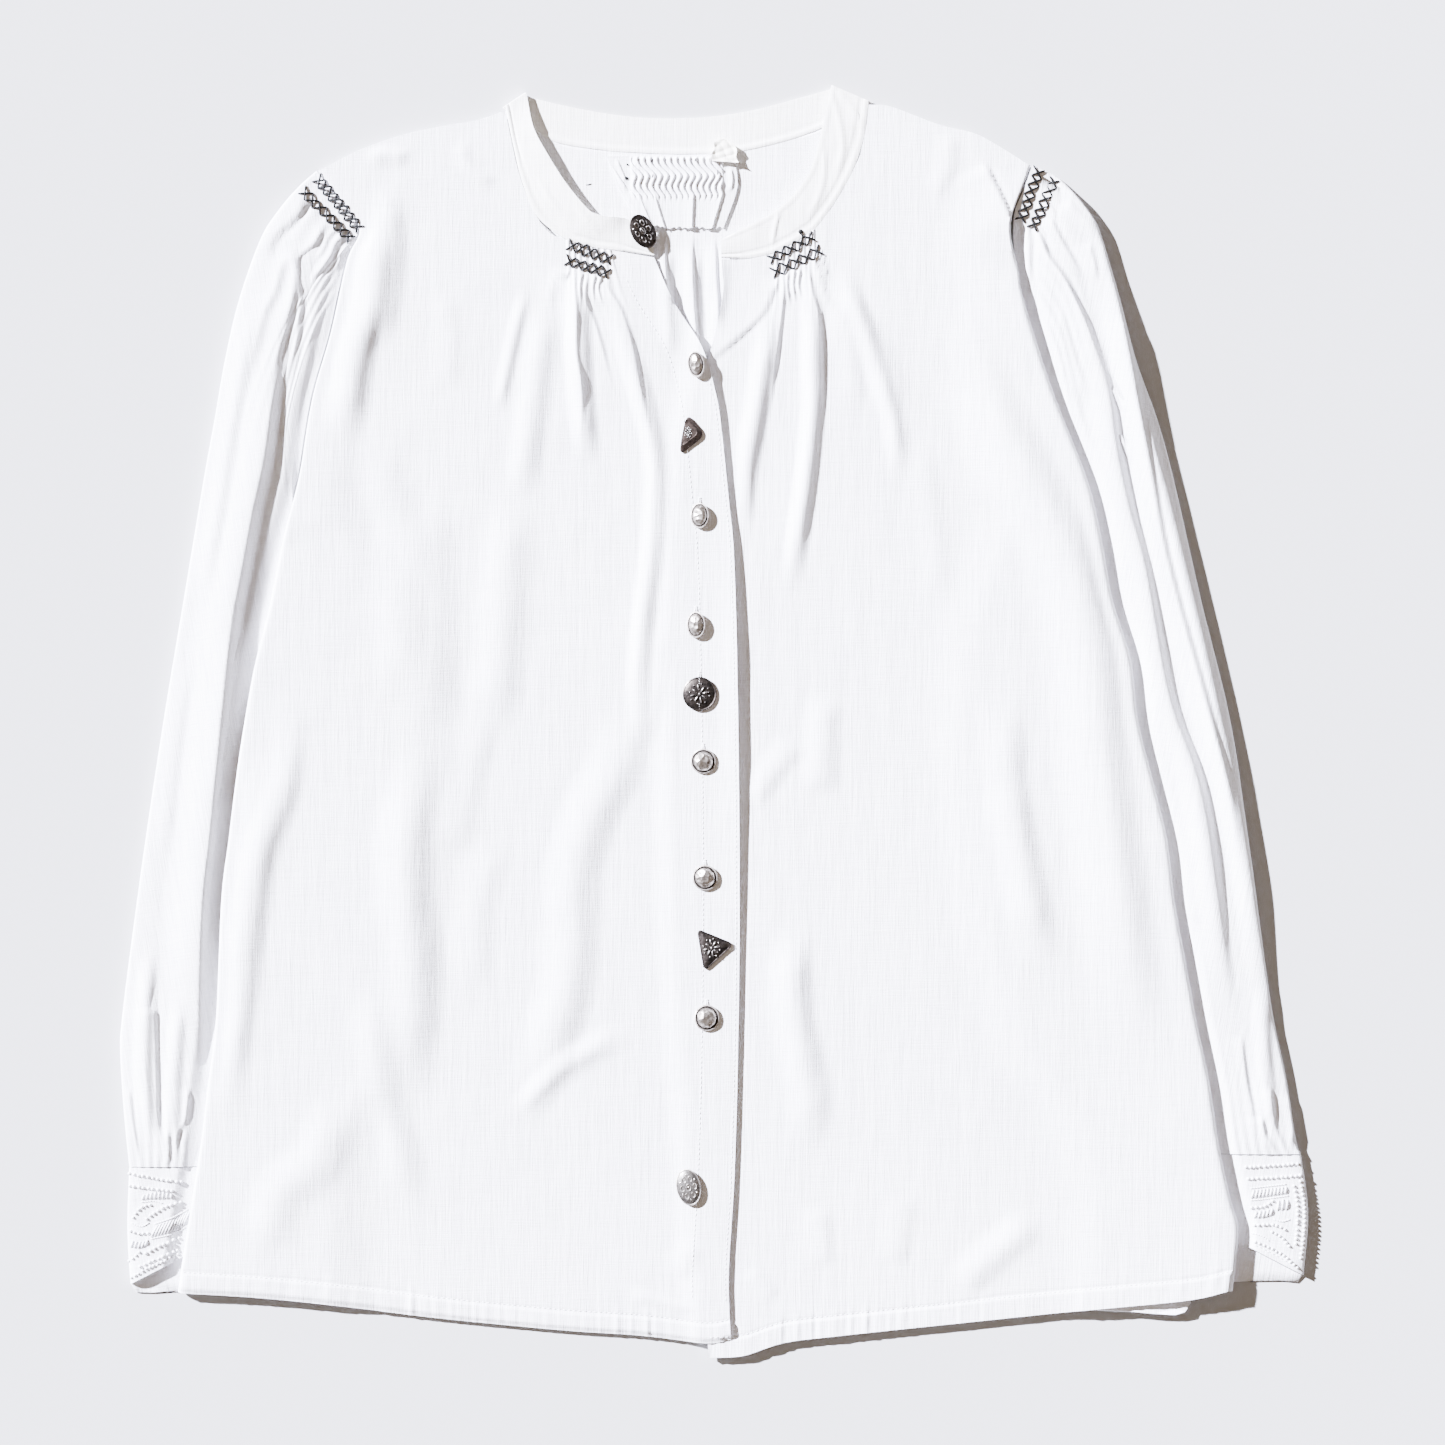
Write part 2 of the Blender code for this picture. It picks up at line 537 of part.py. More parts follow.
def tube_between(name, outer, inner, look):
    """A tube open at both ends: rings of outer points and of inner points, section by section."""
    sections, ring = outer.shape[:2]
    count = sections * ring

    def index(i, j, inside):
        return i * ring + j % ring + (count if inside else 0)

    faces = []
    for i in range(sections - 1):
        for j in range(ring):
            faces.append([index(i, j, 0), index(i + 1, j, 0), index(i + 1, j + 1, 0), index(i, j + 1, 0)])
            faces.append([index(i, j, 1), index(i, j + 1, 1), index(i + 1, j + 1, 1), index(i + 1, j, 1)])
    for i in (0, sections - 1):
        for j in range(ring):
            faces.append([index(i, j, 0), index(i, j + 1, 0), index(i, j + 1, 1), index(i, j, 1)])
    points = np.vstack([outer.reshape(-1, 3), inner.reshape(-1, 3)])
    return add_object(name, points, faces, look)


def clear_of_body(side, x, y):
    """How far a point of a sleeve lies outside the body's edge."""
    return OUTWARD[side] * (x - x_at(EDGE_CURVE[side], y))


def flattened_rings(start, end, shares, top, wall, under_y=None):
    """Outer and inner rings of a flattened tube between its outer and its hidden edge.

    start and end are the edges' plan points, shares the stations across, top the height over
    each station, and under_y the lower wall's own y where it ends lower than the upper one."""
    sections, across = shares.shape
    low_shares = np.array(LOWER_SHARES)
    ring = across + len(low_shares)
    outer = np.zeros((sections, ring, 3))
    inner = np.zeros((sections, ring, 3))
    for i in range(sections):
        a, b = np.array(start[i], float), np.array(end[i], float)
        width = np.linalg.norm(b - a)
        inset = wall / width
        for loop, push in ((outer, 0.0), (inner, inset)):
            c = np.concatenate([shares[i], low_shares])
            c = push + c * (1 - 2 * push)
            loop[i, :, 0] = a[0] + (b[0] - a[0]) * c
            loop[i, :, 1] = a[1] + (b[1] - a[1]) * c
        outer[i, :across, 2] = top[i]
        outer[i, 0, 2] = top[i, 0] * 0.5
        outer[i, across - 1, 2] = PRESSED * 0.5
        inner[i, :across, 2] = np.maximum(top[i] - wall, wall + 0.2)
        inner[i, 0, 2] = top[i, 0] * 0.5
        inner[i, across - 1, 2] = PRESSED * 0.5
        inner[i, across:, 2] = wall
        if under_y is not None:
            outer[i, across:, 1] = under_y[i]
            inner[i, across:, 1] = under_y[i]
    return outer, inner


def sleeve(side):
    """A full sleeve, gathered into the armhole and into the cuff, partly under the body."""
    sign = OUTWARD[side]
    right = side == "right"
    outer_line = curve(OUTER_RIGHT if right else OUTER_LEFT)
    inner_line = curve(INNER_RIGHT if right else INNER_LEFT)
    seam = SEAM_CURVE[side]
    folds = FOLDS_SLEEVE_RIGHT if right else FOLDS_SLEEVE_LEFT
    sections, seen, hidden = 21, 16, 4
    t = np.linspace(0, 1, sections)
    # The first sections turn about the underarm, so that they don't cross.
    a, b = at_share(outer_line, t), at_share(inner_line, np.interp(t, SLEEVE_OUTER, SLEEVE_HIDDEN))
    shares = np.zeros((sections, seen + hidden + 1))
    heights = np.zeros_like(shares)
    plan = np.zeros(shares.shape + (2,))
    for i in range(sections):
        probe = np.linspace(0, 1, 201)[:, None]
        line = a[i] + (b[i] - a[i]) * probe
        clear = clear_of_body(side, line[:, 0], line[:, 1]) > 1.0
        last = float(probe[clear][-1, 0]) if clear.any() else 0.3
        seen_end = 0.45 + (min(max(last, 0.3), 0.93) - 0.45) * float(smooth(t[i] / 0.22))
        width = np.linalg.norm(b[i] - a[i])
        shares[i] = np.concatenate([
            np.linspace(0, seen_end, seen + 1),
            np.linspace(seen_end, 1, hidden + 1)[1:],
        ])
        shares[i, 1] = min(shares[i, 1], 1.3 / width)
        bow = at_share(seam, shares[i]) - (seam[0] + (seam[-1] - seam[0]) * shares[i][:, None])
        plan[i] = a[i] + (b[i] - a[i]) * shares[i][:, None] + bow * float(smooth(1 - t[i] / 0.3))
    plan[..., 0] += sign * SEAM_CLEAR * smooth(1 - t / 0.3)[:, None]
    x, y = plan[..., 0], plan[..., 1]
    away = clear_of_body(side, x, y)
    mask = smooth((away - 1.5) / 9.0) * smooth(np.linspace(0, 1, sections) / 0.06)[:, None]
    from_outer = shares * np.linalg.norm(b - a, axis=1)[:, None]
    crown = np.sqrt(np.clip(1 - (1 - np.clip(from_outer / 12.0, 0, 1)) ** 2, 0, 1))
    calm_cuff = smooth((1 - t) / 0.05)[:, None]
    heights = PRESSED + mask * (1.2 + 1.6 * crown + fold_height(x, y, folds) * (0.35 + 0.65 * calm_cuff))
    odd = np.zeros(shares.shape[1])
    odd[1:seen:2] = 1.0
    head = np.exp(-((t / 0.16) ** 1.5))[:, None]
    cuff_end = np.exp(-(((1 - t) / 0.09) ** 1.5))[:, None]
    heights += odd[None] * (1.3 * head * smooth(t / 0.03)[:, None] * (away > -8) + 1.0 * cuff_end * mask)
    outer, inner = flattened_rings(a, b, shares, heights, SLEEVE_CLOTH)
    across = shares.shape[1]
    outer[:, :across, :2] = plan
    low_shares = np.array(LOWER_SHARES)
    straight = seam[0] + (seam[-1] - seam[0]) * low_shares[:, None]
    bow = at_share(seam, low_shares) - straight + np.array([sign * SEAM_CLEAR, 0.0])
    for i in range(sections):
        fade = float(smooth(1 - t[i] / 0.3))
        outer[i, across:, :2] += bow * fade
        inner[i, across:, :2] += bow * fade
    inset = SLEEVE_CLOTH / np.linalg.norm(b - a, axis=1)[:, None, None]
    centre = (outer[:, :1, :2] + outer[:, across - 1:across, :2]) / 2
    inner[:, :across, :2] = outer[:, :across, :2] + (centre - outer[:, :across, :2]) * 2 * inset
    return tube_between("sleeve_" + side, outer, inner, FABRIC)


def cuff(side):
    """A shaped cuff with raised rows, its upper mouth cut on a slant, open at both ends."""
    right = side == "right"
    top_y = -244.0 if right else -237.0
    outer_x = [(-323, -244), (-324, -279), (-322, -313)] if right else [(322, -237), (326, -270), (323, -308)]
    hidden_x = -228.0 if right else 228.0
    mouth = [(-322, -308), (-293, -293), (-267, -284), (-228, -280)] if right else [
        (323, -303), (294, -288), (266, -282), (228, -279)]
    foot_y = -313.0 if right else -307.0
    sections, seen, hidden = 12, 12, 3
    t = np.linspace(0, 1, sections)
    mouth_line = np.array(mouth, float)
    order = np.argsort(mouth_line[:, 0])
    top, shares, start, end, low_y = [], [], [], [], []
    outer_curve = curve(outer_x)
    upper_y = np.zeros((sections, seen + hidden + 1))
    for i in range(sections):
        y_mean = top_y - GAP - 0.2 + (mouth[0][1] - top_y) * t[i]
        x0 = float(x_at(outer_curve, y_mean))
        edge = float(x_at(EDGE_CURVE[side], y_mean))
        seen_end = np.clip((abs(x0 - edge) - 1.0) / abs(x0 - hidden_x), 0.2, 0.7)
        share = np.concatenate([np.linspace(0, seen_end, seen + 1), np.linspace(seen_end, 1, hidden + 1)[1:]])
        share[1] = 1.2 / abs(x0 - hidden_x)
        shares.append(share)
        start.append((x0, y_mean))
        end.append((hidden_x, y_mean))
        x = x0 + (hidden_x - x0) * share
        mouth_y = np.interp(x, mouth_line[order, 0], mouth_line[order, 1])
        upper_y[i] = top_y - GAP - 0.2 + (mouth_y - top_y) * t[i]
        away = clear_of_body(side, x, upper_y[i])
        mask = smooth((away - 4.0) / 7.0)
        crown = np.sqrt(np.clip(1 - (1 - np.clip(np.abs(x - x0) / 7.0, 0, 1)) ** 2, 0, 1))
        height = PRESSED + mask * (0.6 + crown * (1.2 + 1.2 * t[i]))
        if i in RAISED_ROWS:
            height = height + CUFF_RAISE * mask
        if i in BAR_ROWS:
            bars = np.zeros_like(height)
            bars[1:seen:2] = CUFF_RAISE
            height = height + bars * mask
        top.append(height)
        low_y.append(np.full(len(LOWER_SHARES), top_y - GAP - 0.2 + (foot_y - top_y) * t[i]))
    outer, inner = flattened_rings(start, end, np.array(shares), np.array(top), CUFF_CLOTH, low_y)
    across = seen + hidden + 1
    outer[:, :across, 1] = upper_y
    inner[:, :across, 1] = upper_y
    return tube_between("cuff_" + side, outer, inner, FABRIC)


def neckband():
    """A band round the neck: its front arms lie over its back, folded at both shoulders."""
    middle, facing = [], []

    def arm(inner_points, stretches, side):
        seam = stations(stretches)
        along = np.concatenate([[0], np.cumsum(np.linalg.norm(np.diff(seam, axis=0), axis=1))])
        inner_line = curve(inner_points)
        rows = []
        for q, share in zip(seam, along / along[-1]):
            p = at_share(inner_line, share)
            q = q + (p - q) * (BAND_CLEAR / max(np.linalg.norm(p - q), 1.5))
            zp = float(front_middle(side, p[0], p[1]))
            zq = float(front_middle(side, q[0], q[1]))
            rows.append((np.array([p[0], p[1], zp]), np.array([q[0], q[1], zq]), np.array([0, 0, 1.0])))
        return rows

    right = arm(BAND_FRONT_RIGHT[::-1],
                [(NECK_FRONT_RIGHT[::-1], 2), (SMOCK_RIGHT[::-1], 4), (NECK_RIGHT[::-1], 4)], "right")
    left = arm(BAND_FRONT_LEFT[::-1],
               [(NECK_FRONT_LEFT[::-1], 2), (SMOCK_LEFT[::-1], 4), (NECK_LEFT[::-1], 4)], "left")

    def turn(rows, outward):
        p, q, _ = rows[-1]
        out = np.array([outward[0], outward[1], 0.0])
        fall = (p[2] - BACK_MIDDLE) / 2
        drop = np.array([0, 0, fall])
        near, far = out * fall * 0.7, out * fall
        return [
            (p + near - drop * 0.3, q + near - drop * 0.3, out * 0.7 + np.array([0, 0, 0.7])),
            (p + far - drop, q + far - drop, out),
            (p + near - drop * 1.7, q + near - drop * 1.7, out * 0.7 - np.array([0, 0, 0.7])),
            (p - 2 * drop, q - 2 * drop, np.array([0, 0, -1.0])),
        ]

    turn_right = turn(right, (-0.55, 0.83))
    turn_left = turn(left, (0.39, 0.92))
    top_line = curve(BAND_BACK_TOP)
    foot = stations([(NECK_BACK_RIGHT, 2), (NECK_BACK_SMOCK, 4), (NECK_BACK_LEFT, 2)])
    back = []
    for share, q in list(zip(np.linspace(0, 1, len(foot)), foot))[1:-1]:
        p = at_share(top_line, share)
        q = q + (p - q) * (BAND_CLEAR / np.linalg.norm(p - q))
        back.append((np.array([*p, BACK_MIDDLE]), np.array([*q, BACK_MIDDLE]), np.array([0, 0, -1.0])))
    rows = right + turn_right + back + turn_left[::-1] + left[::-1]
    for p, q, face in rows:
        middle.append([p, (p + q) / 2, q])
        facing.append([face] * 3)
    grid, facing = np.array(middle), np.array(facing)
    facing /= np.linalg.norm(facing, axis=2, keepdims=True)
    half = BAND_CLOTH / 2
    return wall_between("neckband", grid + facing * half, grid - facing * half, CREAM)


def smocking_backing():
    """The gathered strip inside the back neck, with its pleats standing up."""
    columns, rows = 29, 6
    left_edge = curve([(-60, 312), (-52, 292), (-40, BACKING_FOOT)], rows)
    right_edge = curve([(9, 312), (12, 296), (4, BACKING_FOOT)], rows)
    u = np.linspace(0, 1, columns)[None, :, None]
    plan = left_edge[:, None] * (1 - u) + right_edge[:, None] * u
    height = np.full(plan.shape[:2], BACK_MIDDLE + CLOTH / 2 + GAP)
    grid = np.dstack([plan, height])
    relief = np.zeros(plan.shape[:2])
    for i in range(rows):
        strength = smooth((i - 0.5) / 2.0) * (1.0 if i < rows - 1 else 0.6)
        zigzag = 1.2 * (-1) ** (i // 2) if 0 < i < rows - 2 else 0.0
        relief[i, 1:-1:2] = 1.2 * strength
        grid[i, 1:-1, 0] += zigzag * 0.5
    outer = grid.copy()
    outer[..., 2] += SLEEVE_CLOTH + relief
    return wall_between("smocking_backing", outer, grid, FABRIC)


def label():
    """A small bare folded tag standing on the neckband and the strip."""
    turn = math.radians(-14)
    size_x, size_y, low = 13.0, 12.0, 3.0
    grid = np.zeros((3, 3, 3))
    for i in range(3):
        for j in range(3):
            x, y = (j / 2 - 0.5) * size_x, (0.5 - i / 2) * size_y
            grid[i, j] = (
                5 + x * math.cos(turn) - y * math.sin(turn),
                314 + x * math.sin(turn) + y * math.cos(turn),
                low + (0.5 if (i, j) == (1, 1) else 0.0),
            )
    outer = grid.copy()
    outer[..., 2] += 1.0
    return wall_between("label", outer, grid, CREAM)


def outline_radius(angle, corners):
    """Distance of a button's rim from its centre: 1 for a round one, less between corners."""
    if corners == 0:
        return 1.0
    step = 2 * math.pi / corners
    local = (angle % step) - step / 2
    return 0.60 / max(math.cos(local), 0.60) * 0.94 + 0.06


def button(number, row):
    """A domed metal button on a short shank, tilted as it lies."""
    x, y, wide, long, turn, tilt, height, corners = row
    segments = 12
    angle = math.radians(turn)
    tan = math.tan(math.radians(tilt))
    reach = [front_middle("right", x + dx, y + dy) for dx in (-3, 0, 3) for dy in (-3, 0, 3)]
    seat = float(max(reach)) + CLOTH / 2 + GAP
    back = abs(tan) * wide / 2 + 0.3
    profile = [
        (0.28, 0.0, 0.0), (0.28, back, 1.0), (0.92, back + 0.1, 1.0), (1.0, back + 0.7, 1.0),
        (0.84, back + 1.5, 1.0), (0.52, back + height * 0.72, 1.0),
    ]
    points = [(x, y, seat)]
    for radius, rise, tilted in profile:
        for k in range(segments):
            a = 2 * math.pi * k / segments
            edge = radius * (outline_radius(a, corners) if radius > 0.3 else 1.0)
            px, py = edge * wide / 2 * math.cos(a), edge * long / 2 * math.sin(a)
            points.append((
                x + px * math.cos(angle) - py * math.sin(angle),
                y + px * math.sin(angle) + py * math.cos(angle),
                seat + rise + tilted * tan * (px * math.cos(angle) - py * math.sin(angle)),
            ))
    points.append((x, y, seat + back + height * 0.85))
    faces = []
    rings = len(profile)
    for k in range(segments):
        n = (k + 1) % segments
        faces.append([0, 1 + n, 1 + k])
        for r in range(rings - 1):
            low, high = 1 + r * segments, 1 + (r + 1) * segments
            faces.append([low + k, low + n, high + n, high + k])
        last = 1 + (rings - 1) * segments
        faces.append([last + k, last + n, len(points) - 1])
    return add_object(f"button_{number:02d}", points, faces, METAL)


def clear_all():
    for old in list(bpy.data.objects):
        bpy.data.objects.remove(old)


def centre_on_origin():
    """Moves every piece so that the whole stands on the origin."""
    pieces = [o for o in bpy.context.scene.objects if o.type == "MESH"]
    corners = np.array([v.co[:] for o in pieces for v in o.data.vertices])
    low, high = corners.min(0), corners.max(0)
    shift = Vector((-(low[0] + high[0]) / 2, -(low[1] + high[1]) / 2, -low[2]))
    for piece in pieces:
        piece.data.transform(Matrix.Translation(shift))


def main():
    clear_all()
    back_panel()
    front_panel("right")
    front_panel("left")
    for side in OUTWARD:
        sleeve(side)
        cuff(side)
    neckband()
    smocking_backing()
    label()
    for number, row in enumerate(BUTTONS, 1):
        button(number, row)
    centre_on_origin()


main()
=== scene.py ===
# Smocked folk shirt laid flat, face up and buttoned: cloth, embroidery, buttons, floor and light.
# Plan positions in the tables are millimetres from the shirt's middle: +X to the viewer's right,
# +Y to the neck. The shirt's solids were made from nearly the same tables.

import math

import bmesh
import bpy
import numpy as np
from mathutils import Matrix, Vector
from mathutils.bvhtree import BVHTree


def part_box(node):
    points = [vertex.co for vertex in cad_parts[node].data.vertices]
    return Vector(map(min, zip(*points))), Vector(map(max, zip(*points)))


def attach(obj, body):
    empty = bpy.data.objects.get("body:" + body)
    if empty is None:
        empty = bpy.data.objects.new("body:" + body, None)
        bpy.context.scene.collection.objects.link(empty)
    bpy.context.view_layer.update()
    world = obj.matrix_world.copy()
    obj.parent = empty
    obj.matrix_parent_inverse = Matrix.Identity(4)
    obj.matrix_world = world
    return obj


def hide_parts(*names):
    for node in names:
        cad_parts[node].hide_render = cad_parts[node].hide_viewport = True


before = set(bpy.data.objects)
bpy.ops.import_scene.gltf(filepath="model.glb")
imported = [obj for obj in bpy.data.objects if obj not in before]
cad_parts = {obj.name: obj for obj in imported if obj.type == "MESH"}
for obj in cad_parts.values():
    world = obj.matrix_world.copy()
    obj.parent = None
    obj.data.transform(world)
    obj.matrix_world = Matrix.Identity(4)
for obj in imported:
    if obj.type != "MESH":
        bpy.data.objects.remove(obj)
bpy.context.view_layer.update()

MM = 0.001

# Cloth thicknesses and the gap between pieces, in millimetres.
CLOTH = 1.2
SLEEVE_CLOTH = 1.0
BAND_CLOTH = 1.1
GAP = 0.3
# The sleeves' hidden stretch is pressed to this height under the body.
PRESSED = 2.4
# Middle height of a body layer that rests on the surface, and how far the sleeves lift it.
BACK_MIDDLE = CLOTH / 2
OVER_SLEEVE = PRESSED + GAP
LIFT_LEAD = 14.0
LIFT_RAMP = 30.0
# The front's middle surface lies this far over the back's.
FRONT_OVER_BACK = CLOTH + GAP + 1.1
# The buttonhole front lies this far over the button front where they lap.
LAP_LIFT = CLOTH + GAP + 0.9
LAP_RAMP = 14.0
# The pleats below the neck hold the fronts this much higher.
NECK_RISE = 0.9
PANEL_LENGTH = 620.0
SEAM_CLEAR = 1.1
BAND_CLEAR = 1.1
# Radius of the turned cloth at each front's side, and the height where the turn starts.
ROLL = {"right": 1.5, "left": 2.6}
TURN_FROM = {"right": 132.0, "left": 258.0}
HEM_DEPTH = 11.0
# Width of the facing behind the buttonholes.
FACING_WIDTH = 20.0
HEM_EXTRA = 0.6
# Columns of a front's cloth under its turned side, and gathers below its stitched rows.
TURNED_COLUMNS = 12
NECK_GATHERS = 8

# Outlines in plan.
SHOULDER_RIGHT = [(-219, 304), (-197, 315), (-174, 323), (-152, 328), (-129, 332), (-116, 337)]
NECK_RIGHT = [(-116, 337), (-112, 318), (-108, 301), (-101, 283), (-92, 270), (-83, 266)]
SMOCK_RIGHT = [(-83, 266), (-70, 262), (-57, 260)]
NECK_FRONT_RIGHT = [(-57, 260), (-34, 256)]
PLACKET_RIGHT = [(-34, 256), (-24, 233), (-10, 211), (-4.5, 198), (-0.8, 184), (2.4, 167), (7, 123), (10, 90),
                 (12, 13), (13, -97), (12, -185), (10, -252), (7, -302), (8, -339)]
HEM_RIGHT = [(-296, -313), (-252, -316), (-212, -320), (-157, -327), (-86, -334), (-42, -337),
             (-6, -341), (8, -339)]
EDGE_RIGHT = [(-219, 304), (-204, 285), (-196, 271), (-203, 254), (-212, 214), (-222, 179),
              (-229, 136), (-238, 101), (-246, 62), (-254, 30), (-260, -4), (-264, -31),
              (-268, -64), (-272, -97), (-275, -163), (-279, -196), (-283, -229), (-287, -255),
              (-293, -293), (-296, -313)]
SHOULDER_LEFT = [(173, 307), (160, 315), (143, 324), (123, 329), (96, 339), (84, 340)]
NECK_LEFT = [(84, 340), (80, 315), (74, 301), (68, 290), (62, 281), (55, 272)]
SMOCK_LEFT = [(55, 272), (43, 264), (31, 258)]
NECK_FRONT_LEFT = [(31, 258), (16, 255), (3, 255)]
PLACKET_LEFT = [(3, 255), (4, 237), (0, 216), (-7, 189), (-14, 150), (-19, 90), (-20, 13),
                (-19, -97), (-14, -180), (-9, -262), (-4, -349)]
HEM_LEFT = [(284, -312), (261, -317), (211, -322), (163, -327), (68, -337), (37, -341),
            (15, -348), (-4, -349)]
EDGE_LEFT = [(173, 307), (168, 293), (163, 280), (162, 268), (166, 249), (169, 233), (185, 183),
             (204, 134), (212, 101), (218, 68), (228, 35), (232, 2), (240, -31), (248, -64),
             (252, -97), (258, -130), (264, -163), (271, -196), (276, -229), (283, -262),
             (287, -276), (286, -295), (284, -312)]
SEAM_LEFT = [(173, 307), (168, 293), (163, 280), (163, 262), (166, 233), (169, 200), (173, 161),
             (178, 128)]
SEAM_RIGHT = EDGE_RIGHT[:7]
NECK_BACK_RIGHT = [(-116, 337), (-87, 319), (-61, 315)]
NECK_BACK_SMOCK = [(-61, 315), (-48, 314), (-19, 313), (10, 314)]
NECK_BACK_LEFT = [(10, 314), (57, 326), (84, 340)]
BAND_BACK_TOP = [(-104, 345), (-69, 337), (-31, 333), (13, 336), (63, 349)]
HEM_BACK = [(-284, -309), (-212, -317), (-86, -331), (0, -338), (101, -332), (156, -327),
            (211, -323), (243, -325), (256, -325), (263, -322)]
BAND_FRONT_RIGHT = [(-104, 345), (-102, 332), (-94, 315), (-76, 288), (-64, 279), (-47, 276),
                    (-34, 261)]
BAND_FRONT_LEFT = [(63, 349), (58, 326), (53, 307), (45, 293), (30, 280), (3, 266)]
OUTER_RIGHT = [(-219, 304), (-229, 295), (-240, 282), (-250, 266), (-262, 233), (-270, 200),
               (-276, 167), (-282, 134), (-293, 68), (-304, 2), (-314, -64), (-323, -130),
               (-327, -163), (-328, -180), (-326, -213), (-323, -244)]
INNER_RIGHT = [(-229, 136), (-232, 125), (-230, 113), (-213, 88), (-190, 45), (-179, -15),
               (-185, -97), (-204, -174), (-228, -244)]
OUTER_LEFT = [(173, 307), (189, 299), (206, 279), (212, 266), (222, 233), (231, 200),
              (243, 167), (252, 134), (267, 68), (283, 2), (293, -64), (302, -130),
              (307, -163), (314, -196), (319, -229), (322, -237)]
INNER_LEFT = [(178, 128), (181, 118), (180, 106), (170, 80), (159, 40), (156, -15), (166, -97),
              (189, -174), (228, -237)]
# Shares of a sleeve's outer edge and of its hidden edge that its sections join.
SLEEVE_OUTER = (0, 0.1, 0.2, 0.3, 1)
SLEEVE_HIDDEN = (0, 0.015, 0.035, 0.075, 1)
# Stations across a sleeve's lower wall.
LOWER_SHARES = (0.97, 0.80, 0.60, 0.42, 0.25, 0.12, 0.03)
CUFF_END = -330.0
CUFF_CLOTH = 1.1
# Foot of the strip sewn inside the back neck.
BACKING_FOOT = 272.0

# The turned-under cloth at a body's side: its least radius and width, and the turn's length.
LEAST_ROLL = 0.75
LEAST_FLAP = 2.2
TURN_LENGTH = 46.0
FLAP_CLEAR = 2.0
ARMHOLE_INSET = 0.8

# Folds of the cloth: height, width on the viewer's left, width on the right, points along it.
FOLDS_RIGHT = [
    (4.5, 16, 13, [(-188, 285), (-188, 260), (-191, 233), (-200, 194), (-206, 150)]),
    (2.2, 18, 17, [(-180, 167), (-183, 134), (-175, 112), (-173, 60), (-175, 5)]),
    (2.2, 20, 18, [(-157, 130), (-158, 90), (-156, 46), (-154, -5)]),
    (2.6, 18, 18, [(-110, 130), (-116, 79), (-119, 40), (-124, -10)]),
    (3.0, 8, 9, [(-61, 245), (-50, 208), (-41, 178), (-34, 145), (-35, 101), (-42, 40), (-44, -20)]),
    (3.5, 9, 9, [(-77, 250), (-76, 215), (-74, 178), (-70, 140)]),
    (2.5, 12, 11, [(-92, 235), (-102, 167), (-108, 118)]),
    (3.6, 20, 18, [(-161, -5), (-170, -61), (-170, -98), (-164, -135), (-168, -184), (-174, -215)]),
    (3.0, 14, 11, [(-231, 18), (-238, -36), (-250, -70), (-258, -120), (-266, -184), (-268, -225)]),
    (3.4, 20, 18, [(-46, 20), (-55, -24), (-68, -49), (-78, -85), (-80, -135), (-92, -179),
                   (-106, -214)]),
    (2.6, 18, 20, [(-210, -205), (-218, -238), (-239, -257), (-246, -282), (-245, -296)]),
    (2.0, 14, 14, [(-192, -140), (-185, -190), (-173, -238), (-168, -268)]),
    (1.3, 10, 12, [(-46, -168), (-84, -189), (-112, -220)]),
]
FOLDS_LEFT = [
    (3.5, 8, 9, [(30, 230), (23, 178), (15, 134), (12, 95)]),
    (3.5, 8, 8, [(52, 252), (53, 200), (52, 156), (40, 68)]),
    (2.5, 8, 8, [(68, 255), (85, 205), (97, 167), (101, 130)]),
    (5.0, 30, 20, [(120, 240), (148, 183), (167, 147), (184, 114), (197, 84), (207, 40),
                   (216, -42), (228, -125), (239, -200)]),
    (3.0, 18, 13, [(159, 20), (162, -36), (172, -85), (182, -140)]),
    (2.6, 16, 15, [(42, -108), (42, -159), (52, -208), (47, -238)]),
    (1.4, 10, 12, [(16, -46), (29, -29), (46, -8)]),
    (1.8, 13, 13, [(60, 18), (57, -42)]),
    (1.6, 12, 14, [(130, -314), (157, -289), (180, -271)]),
]
FOLDS_SLEEVE_RIGHT = [
    (6.0, 24, 7, [(-226, 262), (-234, 233), (-240, 216), (-248, 150), (-255, 117), (-261, 84),
                  (-267, 51), (-274, -15), (-280, -81), (-283, -114), (-284, -152), (-284, -185),
                  (-285, -220)]),
    (2.0, 9, 7, [(-253, 240), (-262, 190), (-272, 130), (-284, 60)]),
    (2.5, 8, 6, [(-311, -120), (-314, -185), (-310, -236)]),
    (2.0, 7, 6, [(-295, -150), (-298, -196), (-300, -236)]),
]
FOLDS_SLEEVE_LEFT = [
    (4.5, 14, 6, [(182, 268), (190, 254), (204, 216), (214, 183), (219, 150), (226, 117), (235, 84),
                  (248, 13), (265, -36), (275, -98), (284, -170)]),
    (4.0, 11, 5, [(203, 272), (209, 260), (219, 233), (226, 200), (232, 167), (238, 134), (244, 101),
                  (252, 68), (267, 13), (280, -37), (288, -90)]),
    (4.0, 10, 8, [(222, 215), (234, 172), (252, 101), (268, 35), (282, -31), (294, -100), (304, -170)]),
    (2.0, 8, 6, [(300, -140), (302, -190), (306, -232)]),
]
FOLDS_BACK = [
    (1.6, 7, 5, [(-26, 262), (-27, 235), (-24, 200)]),
    (1.6, 8, 5, [(-11, 262), (-11, 235), (-8, 200)]),
    (1.4, 6, 4, [(3, 262), (4, 240), (0, 215)]),
]

